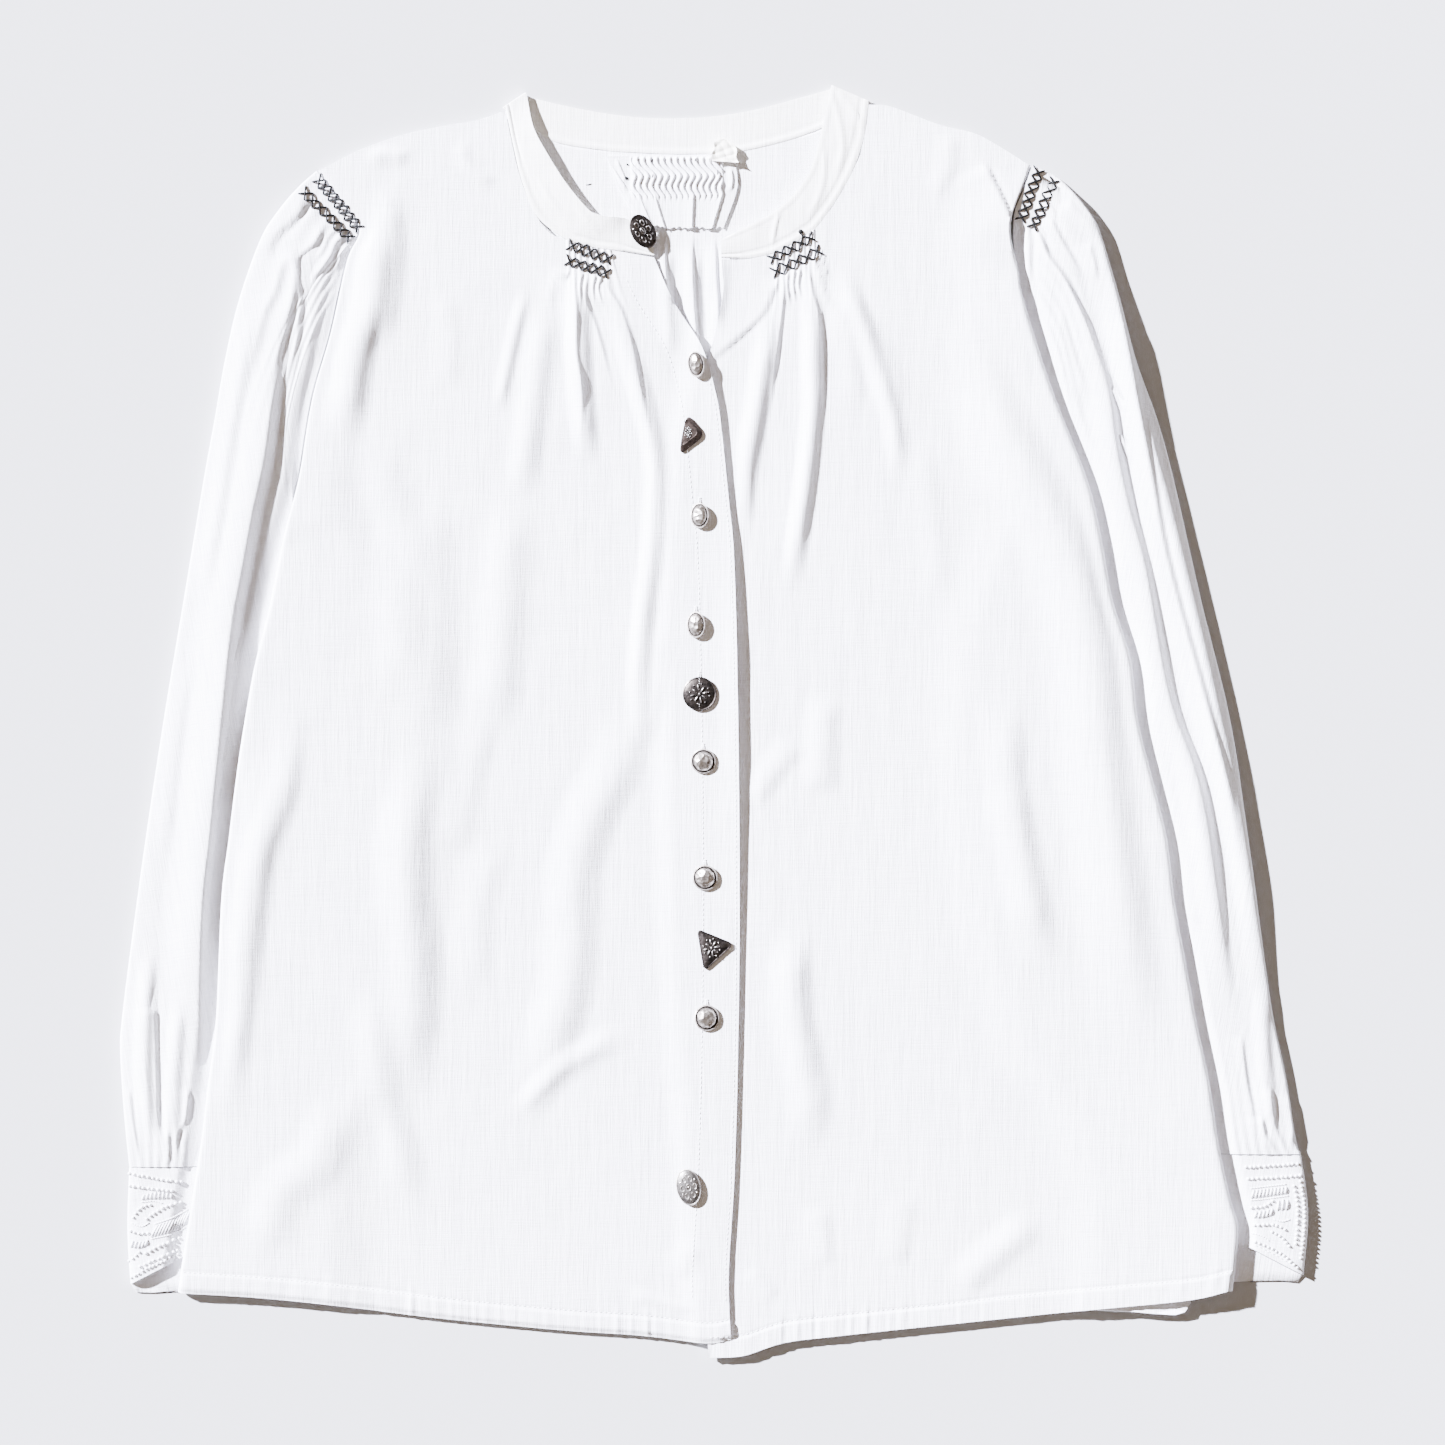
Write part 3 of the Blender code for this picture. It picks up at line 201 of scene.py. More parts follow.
# Buttons: place, size across and along, turn, tilt towards +X, height, and how many corners.
BUTTONS = [
    # x, y, wide, long, turn, tilt, height, corners
    (-40, 270, 13.4, 19.5, 28, -18, 5.4, 0),
    (-11, 197, 9.0, 14.4, 8, 14, 3.4, 0),
    (-13, 159, 14.0, 20.0, 0, 3, 4.4, 3),
    (-9, 114, 10.0, 14.0, 0, 15, 3.6, 0),
    (-11, 54, 10.0, 14.5, 0, 16, 3.6, 0),
    (-9, 16, 18.7, 18.7, 0, 2, 6.0, 0),
    (-7, -21, 13.8, 13.8, 0, 3, 5.0, 0),
    (-6, -85, 13.8, 14.0, 0, 4, 5.0, 0),
    (-1, -123, 18.5, 20.5, 0, 2, 4.0, 3),
    (-5, -162, 13.8, 14.5, 0, 3, 5.0, 0),
    (-15, -255, 13.5, 20.5, 12, 8, 6.0, 0),
]

# The solids stand on their own middle, which is this far from the tables' zero, in metres.
LOW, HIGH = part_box("button_06")
PLACE = np.array([(LOW.x + HIGH.x) / 2 - BUTTONS[5][0] * MM, (LOW.y + HIGH.y) / 2 - BUTTONS[5][1] * MM, 0.0])


def smooth(q):
    """An even step from 0 to 1."""
    q = np.clip(q, 0.0, 1.0)
    return q * q * (3 - 2 * q)


def bell(off, width):
    """A soft ridge of height 1, by the distance off its line."""
    return np.exp(-((off / width) ** 2))


def lengths_along(line):
    """How far along a line each of its points lies."""
    return np.concatenate([[0], np.cumsum(np.linalg.norm(np.diff(line, axis=0), axis=1))])


def bent(a, b, c, d, t):
    """A point of the smooth curve from b to c, where a comes before them and d after them."""
    return 0.5 * (2 * b + (c - a) * t + (2 * a - 5 * b + 4 * c - d) * t ** 2
                  + (3 * b - a - 3 * c + d) * t ** 3)


def curve(points, count=420):
    """A smooth curve through the points, as many points evenly spaced along it."""
    p = np.array(points, float)
    if len(p) > 2:
        q = np.vstack([2 * p[0] - p[1], p, 2 * p[-1] - p[-2]])
        runs = []
        for i in range(1, len(q) - 2):
            t = np.linspace(0, 1, 24, endpoint=False)[:, None]
            runs.append(bent(*q[i - 1:i + 3], t))
        p = np.vstack(runs + [p[-1:]])
    along = lengths_along(p)
    at = np.linspace(0, along[-1], count)
    return np.stack([np.interp(at, along, p[:, k]) for k in range(2)], axis=1)


def at_share(line, share):
    """Points of an evenly spaced line at shares of its length."""
    place = np.clip(np.asarray(share, float), 0, 1) * (len(line) - 1)
    return np.stack([np.interp(place, np.arange(len(line)), line[:, k]) for k in range(2)], axis=-1)


def x_at(line, y):
    """The line's x at a height y, for a line that runs down."""
    return np.interp(-np.asarray(y, float), -line[:, 1], line[:, 0])


def along_line(x, y, points):
    """Signed distance to the right of a line that runs down, and the share along it."""
    line = curve(points, 40)
    best = np.full(np.shape(x), 1e9)
    side = np.zeros(np.shape(x))
    share = np.zeros(np.shape(x))
    for i in range(len(line) - 1):
        a, d = line[i], line[i + 1] - line[i]
        t = np.clip(((x - a[0]) * d[0] + (y - a[1]) * d[1]) / (d @ d), 0, 1)
        gx = x - a[0] - t * d[0]
        gy = y - a[1] - t * d[1]
        far = np.hypot(gx, gy)
        near = far < best
        best = np.where(near, far, best)
        side = np.where(near, np.sign(gy * d[0] - gx * d[1]), side)
        share = np.where(near, (i + t) / (len(line) - 1), share)
    return best * side, share


def fold_height(x, y, folds):
    """Height of soft ridges, each with its own width on each side."""
    x, y = np.asarray(x, float), np.asarray(y, float)
    height = np.zeros(x.shape)
    for rise, wide_left, wide_right, points in folds:
        p = np.array(points, float)
        reach = max(wide_left, wide_right) + 6.0
        near = ((x > p[:, 0].min() - reach) & (x < p[:, 0].max() + reach)
                & (y > p[:, 1].min() - reach) & (y < p[:, 1].max() + reach))
        if not near.any():
            continue
        off, share = along_line(x[near], y[near], points)
        q = np.where(off < 0, -off / wide_left, off / wide_right)
        ends = smooth(share / 0.25) * smooth((1 - share) / 0.25)
        height[near] += rise * ends * np.cos(np.clip(q, 0, 1) * math.pi / 2) ** 2
    return height


EDGE_CURVE = {"right": curve(EDGE_RIGHT), "left": curve(EDGE_LEFT)}
SEAM_CURVE = {"right": curve(SEAM_RIGHT), "left": curve(SEAM_LEFT)}
INNER_CURVE = {
    "right": curve(INNER_RIGHT + [(-228, CUFF_END)]),
    "left": curve(INNER_LEFT + [(228, CUFF_END)]),
}
PLACKET_CURVE = {"right": curve(PLACKET_RIGHT), "left": curve(PLACKET_LEFT)}
# Where the body starts to lie over each sleeve.
OVERLAP_FROM = {"right": 136.0, "left": 262.0}
OUTWARD = {"right": -1.0, "left": 1.0}


def sleeve_inside_x(side, y):
    """The hidden sleeve's inner edge, and above the underarm its seam."""
    hidden = x_at(INNER_CURVE[side], y)
    if side == "left":
        return np.where(y > INNER_LEFT[0][1], x_at(SEAM_CURVE[side], y), hidden)
    return hidden


def lift(x, y):
    """How far the sleeves lift the body, from 0 to OVER_SLEEVE."""
    total = np.zeros(np.shape(x))
    for side, sign in OUTWARD.items():
        inside = sleeve_inside_x(side, np.minimum(y, OVERLAP_FROM[side]))
        off = np.hypot(np.maximum(0, sign * (inside - x)), np.maximum(0, y - OVERLAP_FROM[side]))
        total = np.maximum(total, OVER_SLEEVE * smooth(1 - (off - LIFT_LEAD) / LIFT_RAMP))
    return total


def back_middle(x, y):
    """Middle height of the back panel."""
    return BACK_MIDDLE + lift(x, y) + fold_height(x, y, FOLDS_BACK)


def lap(x, y):
    """How far the buttonhole front is lifted by the button front under it."""
    off = x_at(PLACKET_CURVE["left"], y) - x
    return LAP_LIFT * smooth(1.2 - off / LAP_RAMP)


def front_middle(side, x, y):
    """Middle height of a front panel, with its folds."""
    folds = FOLDS_RIGHT if side == "right" else FOLDS_LEFT
    placket = x_at(PLACKET_CURVE[side], y)
    calm = smooth(np.abs(x - placket) / 14.0)
    if side == "left":
        calm = smooth((x - x_at(PLACKET_CURVE["right"], y) - 3) / 10.0)
    edge = np.abs(x - x_at(EDGE_CURVE[side], y))
    calm = calm * smooth(edge / 10.0) * smooth((y + 336) / 16.0)
    height = BACK_MIDDLE + lift(x, y) + FRONT_OVER_BACK + fold_height(x, y, FOLDS_BACK)
    height = height + calm * fold_height(x, y, folds) + NECK_RISE * smooth((y - 185) / 35.0)
    if side == "right":
        height = height + lap(x, y)
    return height


def coons(top, bottom, start, end):
    """A patch of plan points spanned by its four edges, rows from top to bottom.

    A side's bow fades quickly into the patch, so that the rows stay in order below the neck."""
    rows, columns = len(start), len(top)
    v = np.linspace(0, 1, rows)[:, None, None]
    u = np.linspace(0, 1, columns)[None, :, None]
    ruled = (1 - v) * top[None] + v * bottom[None]
    bow_start = start[:, None] - ruled[:, :1]
    bow_end = end[:, None] - ruled[:, -1:]
    return ruled + (1 - u) ** 4 * bow_start + u ** 4 * bow_end


def stations(stretches):
    """Points along joined stretches: each has its curve and its number of steps."""
    parts = []
    for points, steps in stretches:
        line = at_share(curve(points), np.linspace(0, 1, steps + 1))
        parts.append(line if not parts else line[1:])
    return np.vstack(parts)


def spaced(shares):
    """Stations from 0 to 1 from a list of steps and the share each run of steps takes."""
    at = [0.0]
    for steps, share in shares:
        at += [at[-1] + share * (k + 1) / steps for k in range(steps)]
    return np.array(at) / at[-1]


def remap(patch, at):
    """The patch's rows moved to other shares of its length."""
    rows = np.linspace(0, 1, len(patch))
    out = np.empty((len(at),) + patch.shape[1:])
    for j in range(patch.shape[1]):
        for k in range(patch.shape[2]):
            out[:, j, k] = np.interp(at, rows, patch[:, j, k])
    return out


def normals_of(grid):
    """Unit normals of a grid of points, up where the grid lies flat."""
    down = np.gradient(grid, axis=0)
    across = np.gradient(grid, axis=1)
    normal = np.cross(across, down)
    normal /= np.maximum(np.linalg.norm(normal, axis=2, keepdims=True), 1e-9)
    if np.median(normal[..., 2]) < 0:
        normal = -normal
    return normal


def side_turn(side, y):
    """0 where the body's side is sewn to the sleeve, 1 where it is turned under over it."""
    return smooth((TURN_FROM[side] - y) / TURN_LENGTH)


def flap_width(side, y):
    """How far the front's cloth runs back under its side."""
    edge = x_at(EDGE_CURVE[side], y)
    if side == "right":
        full = np.interp(-y, [-136, 60, 313], [4.0, 14.0, 16.0])
    else:
        seam = edge - x_at(SEAM_CURVE[side], y) - FLAP_CLEAR
        full = np.where(y > SEAM_LEFT[-1][1], np.maximum(seam, LEAST_FLAP),
                        np.interp(-y, [-128, 300], [26.0, 21.0]))
    return LEAST_FLAP + (full - LEAST_FLAP) * side_turn(side, y)


def back_side_x(side, y):
    """The back panel's side seam, just inside the front's turned-under cloth."""
    edge = x_at(EDGE_CURVE[side], y)
    clear = (flap_width(side, y) + FLAP_CLEAR) * smooth((TURN_FROM[side] + 16 - y) / 22)
    if side == "right":
        return edge + np.maximum(clear, ARMHOLE_INSET)
    seam = x_at(SEAM_CURVE[side], y) - ARMHOLE_INSET
    return np.where(y > SEAM_LEFT[-1][1], seam, edge - np.maximum(clear, ARMHOLE_INSET))


def clear_of_body(side, x, y):
    """How far a point of a sleeve lies outside the body's edge."""
    return OUTWARD[side] * (x - x_at(EDGE_CURVE[side], y))


# Finer creases than the solids have: height, width on the left, width on the right, points.
CREASES_RIGHT = [
    (1.6, 6, 5, [(-104, 240), (-112, 208), (-120, 170)]),
    (2.4, 15, 10, [(-184, 298), (-180, 284), (-178, 262), (-180, 238), (-186, 206)]),
    (1.4, 9, 6, [(-192, 309), (-183, 313), (-168, 311)]),
    (1.0, 7, 5, [(-140, 322), (-136, 306), (-120, 296)]),
    (0.9, 12, 9, [(-150, 240), (-146, 210), (-148, 180)]),
    (1.5, 20, 13, [(-247, -10), (-252, -55), (-262, -100), (-271, -150)]),
    (1.3, 18, 12, [(-125, 10), (-138, -40), (-146, -80)]),
    (0.8, 9, 7, [(-57, -175), (-85, -190), (-112, -216)]),
    (0.8, 20, 18, [(-200, -190), (-178, -236), (-172, -264)]),
    (1.0, 12, 8, [(-12, -285), (-22, -306)]),
    (1.2, 7, 4, [(-48, -312), (-30, -318), (-12, -324)]),
    (1.3, 20, 13, [(-120, -60), (-132, -110), (-130, -150)]),
    (1.0, 12, 9, [(-30, 60), (-34, 20), (-40, -16)]),
]
CREASES_LEFT = [
    (1.3, 16, 10, [(62, 246), (76, 226), (92, 200), (104, 170)]),
    (1.2, 12, 8, [(66, 236), (74, 205), (78, 170)]),
    (1.0, 10, 7, [(128, 326), (128, 306), (118, 288)]),
    (1.4, 20, 14, [(160, -30), (166, -80), (176, -120)]),
    (1.2, 15, 10, [(44, -115), (46, -160), (54, -200)]),
    (1.0, 12, 9, [(56, -264), (60, -300)]),
    (0.9, 8, 5, [(18, -300), (34, -316)]),
    (1.0, 14, 10, [(104, -258), (98, -300)]),
    (1.0, 14, 10, [(110, 160), (120, 110), (124, 60)]),
    (0.8, 20, 14, [(132, -306), (156, -290), (176, -274)]),
]
# Crisp gathers below the smocking: height, width of the slope before the line, drop after it, points.
GATHERS_RIGHT = [
    (1.2, 3.0, 1.2, [(-84, 250), (-90, 239), (-91, 224)]),
    (1.0, 2.4, 1.0, [(-81, 249), (-85, 239), (-86, 228)]),
    (1.1, 6.0, 1.6, [(-77, 252), (-78, 242), (-77, 226), (-77, 203), (-74, 182), (-75, 146)]),
    (1.0, 2.4, 1.0, [(-73, 249), (-75, 240), (-74, 228)]),
    (0.9, 4.5, 1.4, [(-70, 249), (-72, 240), (-72, 232), (-67, 220), (-61, 199), (-56, 176)]),
    (1.0, 2.4, 1.0, [(-66, 247), (-68, 240), (-67, 230)]),
    (1.0, 2.4, 1.0, [(-63, 246), (-65, 239), (-62, 228)]),
    (1.0, 6.5, 1.5, [(-59, 248), (-60, 239), (-53, 228), (-46, 206), (-42, 184), (-34, 148)]),
]
GATHERS_LEFT = [
    (0.9, 5.0, 1.4, [(36, 248), (37, 238), (36, 227), (33, 203), (29, 170)]),
    (1.0, 2.4, 1.0, [(39, 248), (39, 239), (41, 228)]),
    (1.0, 2.4, 1.0, [(43, 250), (42, 241), (44, 230)]),
    (1.0, 2.2, 1.0, [(46, 250), (45, 241), (47, 232)]),
    (1.0, 6.0, 1.5, [(48, 255), (51, 245), (53, 235), (56, 224), (57, 203), (57, 158)]),
    (1.2, 3.5, 1.3, [(53, 258), (57, 246), (59, 239), (66, 222)]),
    (1.1, 2.6, 1.1, [(56, 260), (60, 249), (62, 238)]),
    (1.1, 8.0, 1.6, [(34, 247), (32, 240), (26, 227), (15, 215.6), (-0.5, 202.5), (-18, 188)]),
    (2.4, 12.0, 1.5, [(147, 309), (152, 299), (157.5, 288), (162.5, 277), (166, 262), (168, 246)]),
]
# How far the buttonhole edge stands off the front under it, as height at places down it.
EDGE_LIFT = [(-330, -0.3), (-200, -0.4), (-130, -0.1), (-70, 0.7), (-20, 1.8), (40, 2.2), (80, 1.4),
             (112, 0.4), (150, 0.3), (180, 0.8), (202, 1.4), (216, 0.5), (260, 0.1)]
CREASES_SLEEVE_RIGHT = [
    (1.2, 12, 7, [(-262, 60), (-268, 10), (-274, -50)]),
    (1.0, 10, 6, [(-290, 40), (-298, -20), (-304, -80)]),
]
CREASES_SLEEVE_LEFT = [
    (1.2, 9, 5, [(186, 230), (196, 200), (206, 176)]),
    (1.2, 12, 7, [(254, 0), (264, -50), (274, -110), (282, -160)]),
    (1.0, 10, 6, [(284, 10), (296, -50), (304, -110)]),
]
GATHERS_SLEEVE_RIGHT = [
    (1.5, 8, 2.0, [(-226, 292), (-228, 287), (-232, 278), (-241, 270), (-246, 261), (-249, 248)]),
    (1.2, 3, 1.2, [(-222, 291), (-224, 287), (-228, 281), (-231, 276)]),
    (1.8, 8, 2.0, [(-213, 278), (-217, 272), (-221, 264), (-226, 260), (-230, 255), (-229, 244), (-229, 230),
                   (-232, 205), (-238, 180)]),
    (1.1, 4, 1.4, [(-207, 273), (-213, 268), (-216, 261), (-219, 257), (-225, 254)]),
    (1.1, 4, 1.5, [(-202, 269), (-209, 265), (-212, 257), (-217, 250), (-222, 245), (-223, 236)]),
    (1.2, 3, 1.3, [(-201, 264), (-206, 259), (-207, 250), (-208, 242)]),
    (1.3, 8, 2.6, [(-203, 262), (-205, 248), (-208, 231), (-212, 216), (-218, 190)]),
    (1.6, 7, 2.4, [(-234, 262), (-232, 250), (-233, 236), (-236, 220), (-243, 196)]),
    (1.4, 9, 3.0, [(-238, 258), (-243, 238), (-249, 226), (-254, 206), (-260, 180)]),
    (1.1, 5, 1.3, [(-323, -200), (-321, -218), (-319, -232), (-318, -245)]),
    (1.5, 9, 1.4, [(-309, -150), (-308, -196), (-307, -219), (-304, -233), (-307, -240), (-310, -247)]),
    (1.1, 6, 1.4, [(-290, -200), (-292, -217), (-297, -229), (-295, -247)]),
    (1.4, 8, 1.5, [(-278, -186), (-280, -207), (-283, -222), (-287, -238), (-292, -249)]),
    (1.2, 4, 1.6, [(-302, -224), (-301, -236), (-302, -247)]),
]
GATHERS_SLEEVE_LEFT = [
    (2.6, 9, 2.0, [(183, 303), (191, 295), (200, 287), (207, 277), (212, 263), (216, 249),
                   (220, 235), (224, 216),
                   (230, 190), (238, 150)]),
    (2.2, 7, 1.8, [(174, 276), (176, 271), (179, 264), (182, 256), (190, 245), (197, 232),
                   (204, 216), (214, 186)]),
    (1.6, 4, 1.5, [(171, 278), (171, 274), (172, 265), (172, 252), (174, 236)]),
    (1.5, 5, 1.5, [(183, 279), (185, 274), (190, 264), (197, 252), (202, 242)]),
    (1.4, 5, 1.5, [(192, 287), (195, 284), (201, 278), (206, 273), (210, 264)]),
    (1.2, 3, 1.2, [(180, 290), (182, 286), (185, 282), (186, 275)]),
    (1.3, 5, 1.6, [(205, 264), (206, 258), (208, 250), (209, 240)]),
    (1.6, 8, 3.0, [(222, 226), (230, 196), (238, 160), (246, 120)]),
    (1.6, 5, 1.8, [(299, -216), (301, -226), (305, -233), (307, -240)]),
    (1.2, 5, 1.4, [(304, -200), (307, -222), (311, -232), (312, -240)]),
    (1.1, 4, 1.3, [(316, -204), (317, -222), (316, -232), (317, -240)]),
    (1.1, 6, 1.5, [(288, -170), (291, -196), (295, -216), (297, -238)]),
]
# How many columns and rows of the fine outer face there are to one of the plain inner face.
FINE_ACROSS, FINE_DOWN = 4, 10


def uneven(x, y, seed, least=24.0, most=90.0):
    """A faint cloudy unevenness between -1 and 1, the same on each run."""
    dice = np.random.default_rng(seed)
    total = np.zeros(np.shape(x))
    for _ in range(9):
        length = dice.uniform(least, most)
        heading, phase = dice.uniform(0, math.pi), dice.uniform(0, 2 * math.pi)
        total += np.sin((x * math.cos(heading) + y * math.sin(heading)) * 2 * math.pi / length + phase)
    return total / 5.0


def gathered(x, y, lines):
    """Crisp gathers: the cloth climbs to each line and drops at once behind it."""
    height = np.zeros(np.shape(x))
    for rise, before, after, points in lines:
        p = np.array(points, float)
        near = ((np.abs(x - p[:, 0].mean()) < np.ptp(p[:, 0]) / 2 + 3 * before)
                & (np.abs(y - p[:, 1].mean()) < np.ptp(p[:, 1]) / 2 + 8))
        if near.any():
            off, share = along_line(x[near], y[near], points)
            ends = smooth(share / 0.12) * smooth((1 - share) / 0.45)
            behind = bell(off, after) - 0.25 * bell(off - 1.8 * after, after)
            slope = np.where(off < 0, np.exp(off / before), behind)
            height[near] += rise * ends * slope
    return height


def skin(name, outer, inner, around=False):
    """A closed cloth wall in metres: a fine outer face, a plain inner face, and the rim between."""
    rows, columns = outer.shape[:2]
    low_rows, low_columns = inner.shape[:2]
    down = (rows - 1) // (low_rows - 1)
    across = columns // low_columns if around else (columns - 1) // (low_columns - 1)
    base = rows * columns

    def sheet_faces(r, c, start, flip):
        wide = c if around else c - 1
        i, j = np.meshgrid(np.arange(r - 1), np.arange(wide), indexing="ij")
        k = (j + 1) % c
        quads = np.stack([i * c + j, (i + 1) * c + j, (i + 1) * c + k, i * c + k], axis=-1) + start
        quads = quads.reshape(-1, 4)
        return (quads[:, ::-1] if flip else quads).tolist()

    faces = sheet_faces(rows, columns, 0, False) + sheet_faces(low_rows, low_columns, base, True)

    def fine(i, j):
        return i * columns + j % columns

    def plain(i, j):
        return base + i * low_columns + j % low_columns

    for end in (0, 1):
        i, low_i = (rows - 1, low_rows - 1) if end else (0, 0)
        for j in range(low_columns if around else low_columns - 1):
            rim = [fine(i, j * across + k) for k in range(across + 1)]
            rim += [plain(low_i, j + 1), plain(low_i, j)]
            faces.append(rim[::-1] if end else rim)
    if not around:
        for end in (0, 1):
            j, low_j = (columns - 1, low_columns - 1) if end else (0, 0)
            for i in range(low_rows - 1):
                rim = [fine(i * down + k, j) for k in range(down + 1)]
                rim += [plain(i + 1, low_j), plain(i, low_j)]
                faces.append(rim if end else rim[::-1])
    points = np.vstack([outer.reshape(-1, 3), inner.reshape(-1, 3)]) * MM + PLACE
    mesh = bpy.data.meshes.new(name)
    mesh.from_pydata(points.tolist(), [], faces)
    turn_outwards(mesh)
    mesh.shade_smooth()
    mesh.set_sharp_from_angle(angle=math.radians(65))
    piece = bpy.data.objects.new(name, mesh)
    bpy.context.scene.collection.objects.link(piece)
    return piece


def turn_outwards(mesh):
    """Turns a closed mesh's faces outwards."""
    made = bmesh.new()
    made.from_mesh(mesh)
    bmesh.ops.recalc_face_normals(made, faces=made.faces[:])
    if made.calc_volume(signed=True) < 0:
        bmesh.ops.reverse_faces(made, faces=made.faces[:])
    made.to_mesh(mesh)
    made.free()


def dress(piece, node, look):
    """Gives a cloth piece its material and its place in the frame."""
    piece.data.materials.clear()
    piece.data.materials.append(look)
    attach(piece, "root")
    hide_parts(node)


def row_shares(count, top, hem):
    """Shares of a panel's length, closer together at its top and at its hem."""
    v = np.linspace(0, 1, 2000)
    weight = 1 + top * np.exp(-v / 0.10) + hem * smooth((v - 0.965) / 0.01)
    total = np.concatenate([[0], np.cumsum((weight[1:] + weight[:-1]) / 2)])
    return np.interp(np.linspace(0, 1, count), total / total[-1], v)


def hem_relief(x, from_hem):
    """The turned hem: a doubled edge, its stitched groove, and small tucks drawn in by the thread."""
    doubled = HEM_EXTRA * smooth((HEM_DEPTH - from_hem) / 1.4)
    groove = -0.35 * bell(from_hem - HEM_DEPTH - 0.4, 0.9)
    beat = np.sin(x * 2 * math.pi / 7.1 + 1.9 * np.sin(x / 19.0)) + 0.6 * np.sin(x * 2 * math.pi / 4.3)
    strength = (0.60 + 0.40 * np.sin(x / 37.0 + 1.0)) * bell(from_hem - 6.0, 8.0)
    tucks = np.maximum(0, np.sin(x * 2 * math.pi / 15.7 + 2.2 * np.sin(x / 26.0))) ** 6
    return doubled + groove + (0.32 * beat + 0.75 * tucks) * strength


def rolled_side(plan, height, side):
    """The cloth turned under at the body's side, row by row, as more columns."""
    sign, roll = OUTWARD[side], ROLL[side]
    extra = np.zeros((len(plan), TURNED_COLUMNS, 3))
    edge_shift = np.zeros((len(plan), 3))
    for i in range(len(plan)):
        x, y, z = plan[i, 0, 0], plan[i, 0, 1], height[i, 0]
        turn = float(side_turn(side, y))
        radius = LEAST_ROLL + (roll - LEAST_ROLL) * turn
        drop = (FRONT_OVER_BACK - CLOTH - GAP) + (CLOTH + GAP - 0.1) * float(smooth(turn * 2 - 1))
        low = z - drop
        flap_end = max(float(flap_width(side, y)), radius + 1.0)
        section = [(flap_end + (radius - flap_end) * k / 4, low) for k in range(4)]
        for k in range(9):
            angle = math.pi * (k / 8 - 0.5)
            outward = radius - 0.95 * radius * math.cos(angle)
            section.append((outward, low + radius + radius * math.sin(angle)))
        for k in range(TURNED_COLUMNS):
            extra[i, k] = (x - sign * (section[k][0] + CLOTH / 2), y, section[k][1])
        edge_shift[i] = (-sign * (section[-1][0] + CLOTH / 2), 0.0, section[-1][1] - z)
    return extra, edge_shift


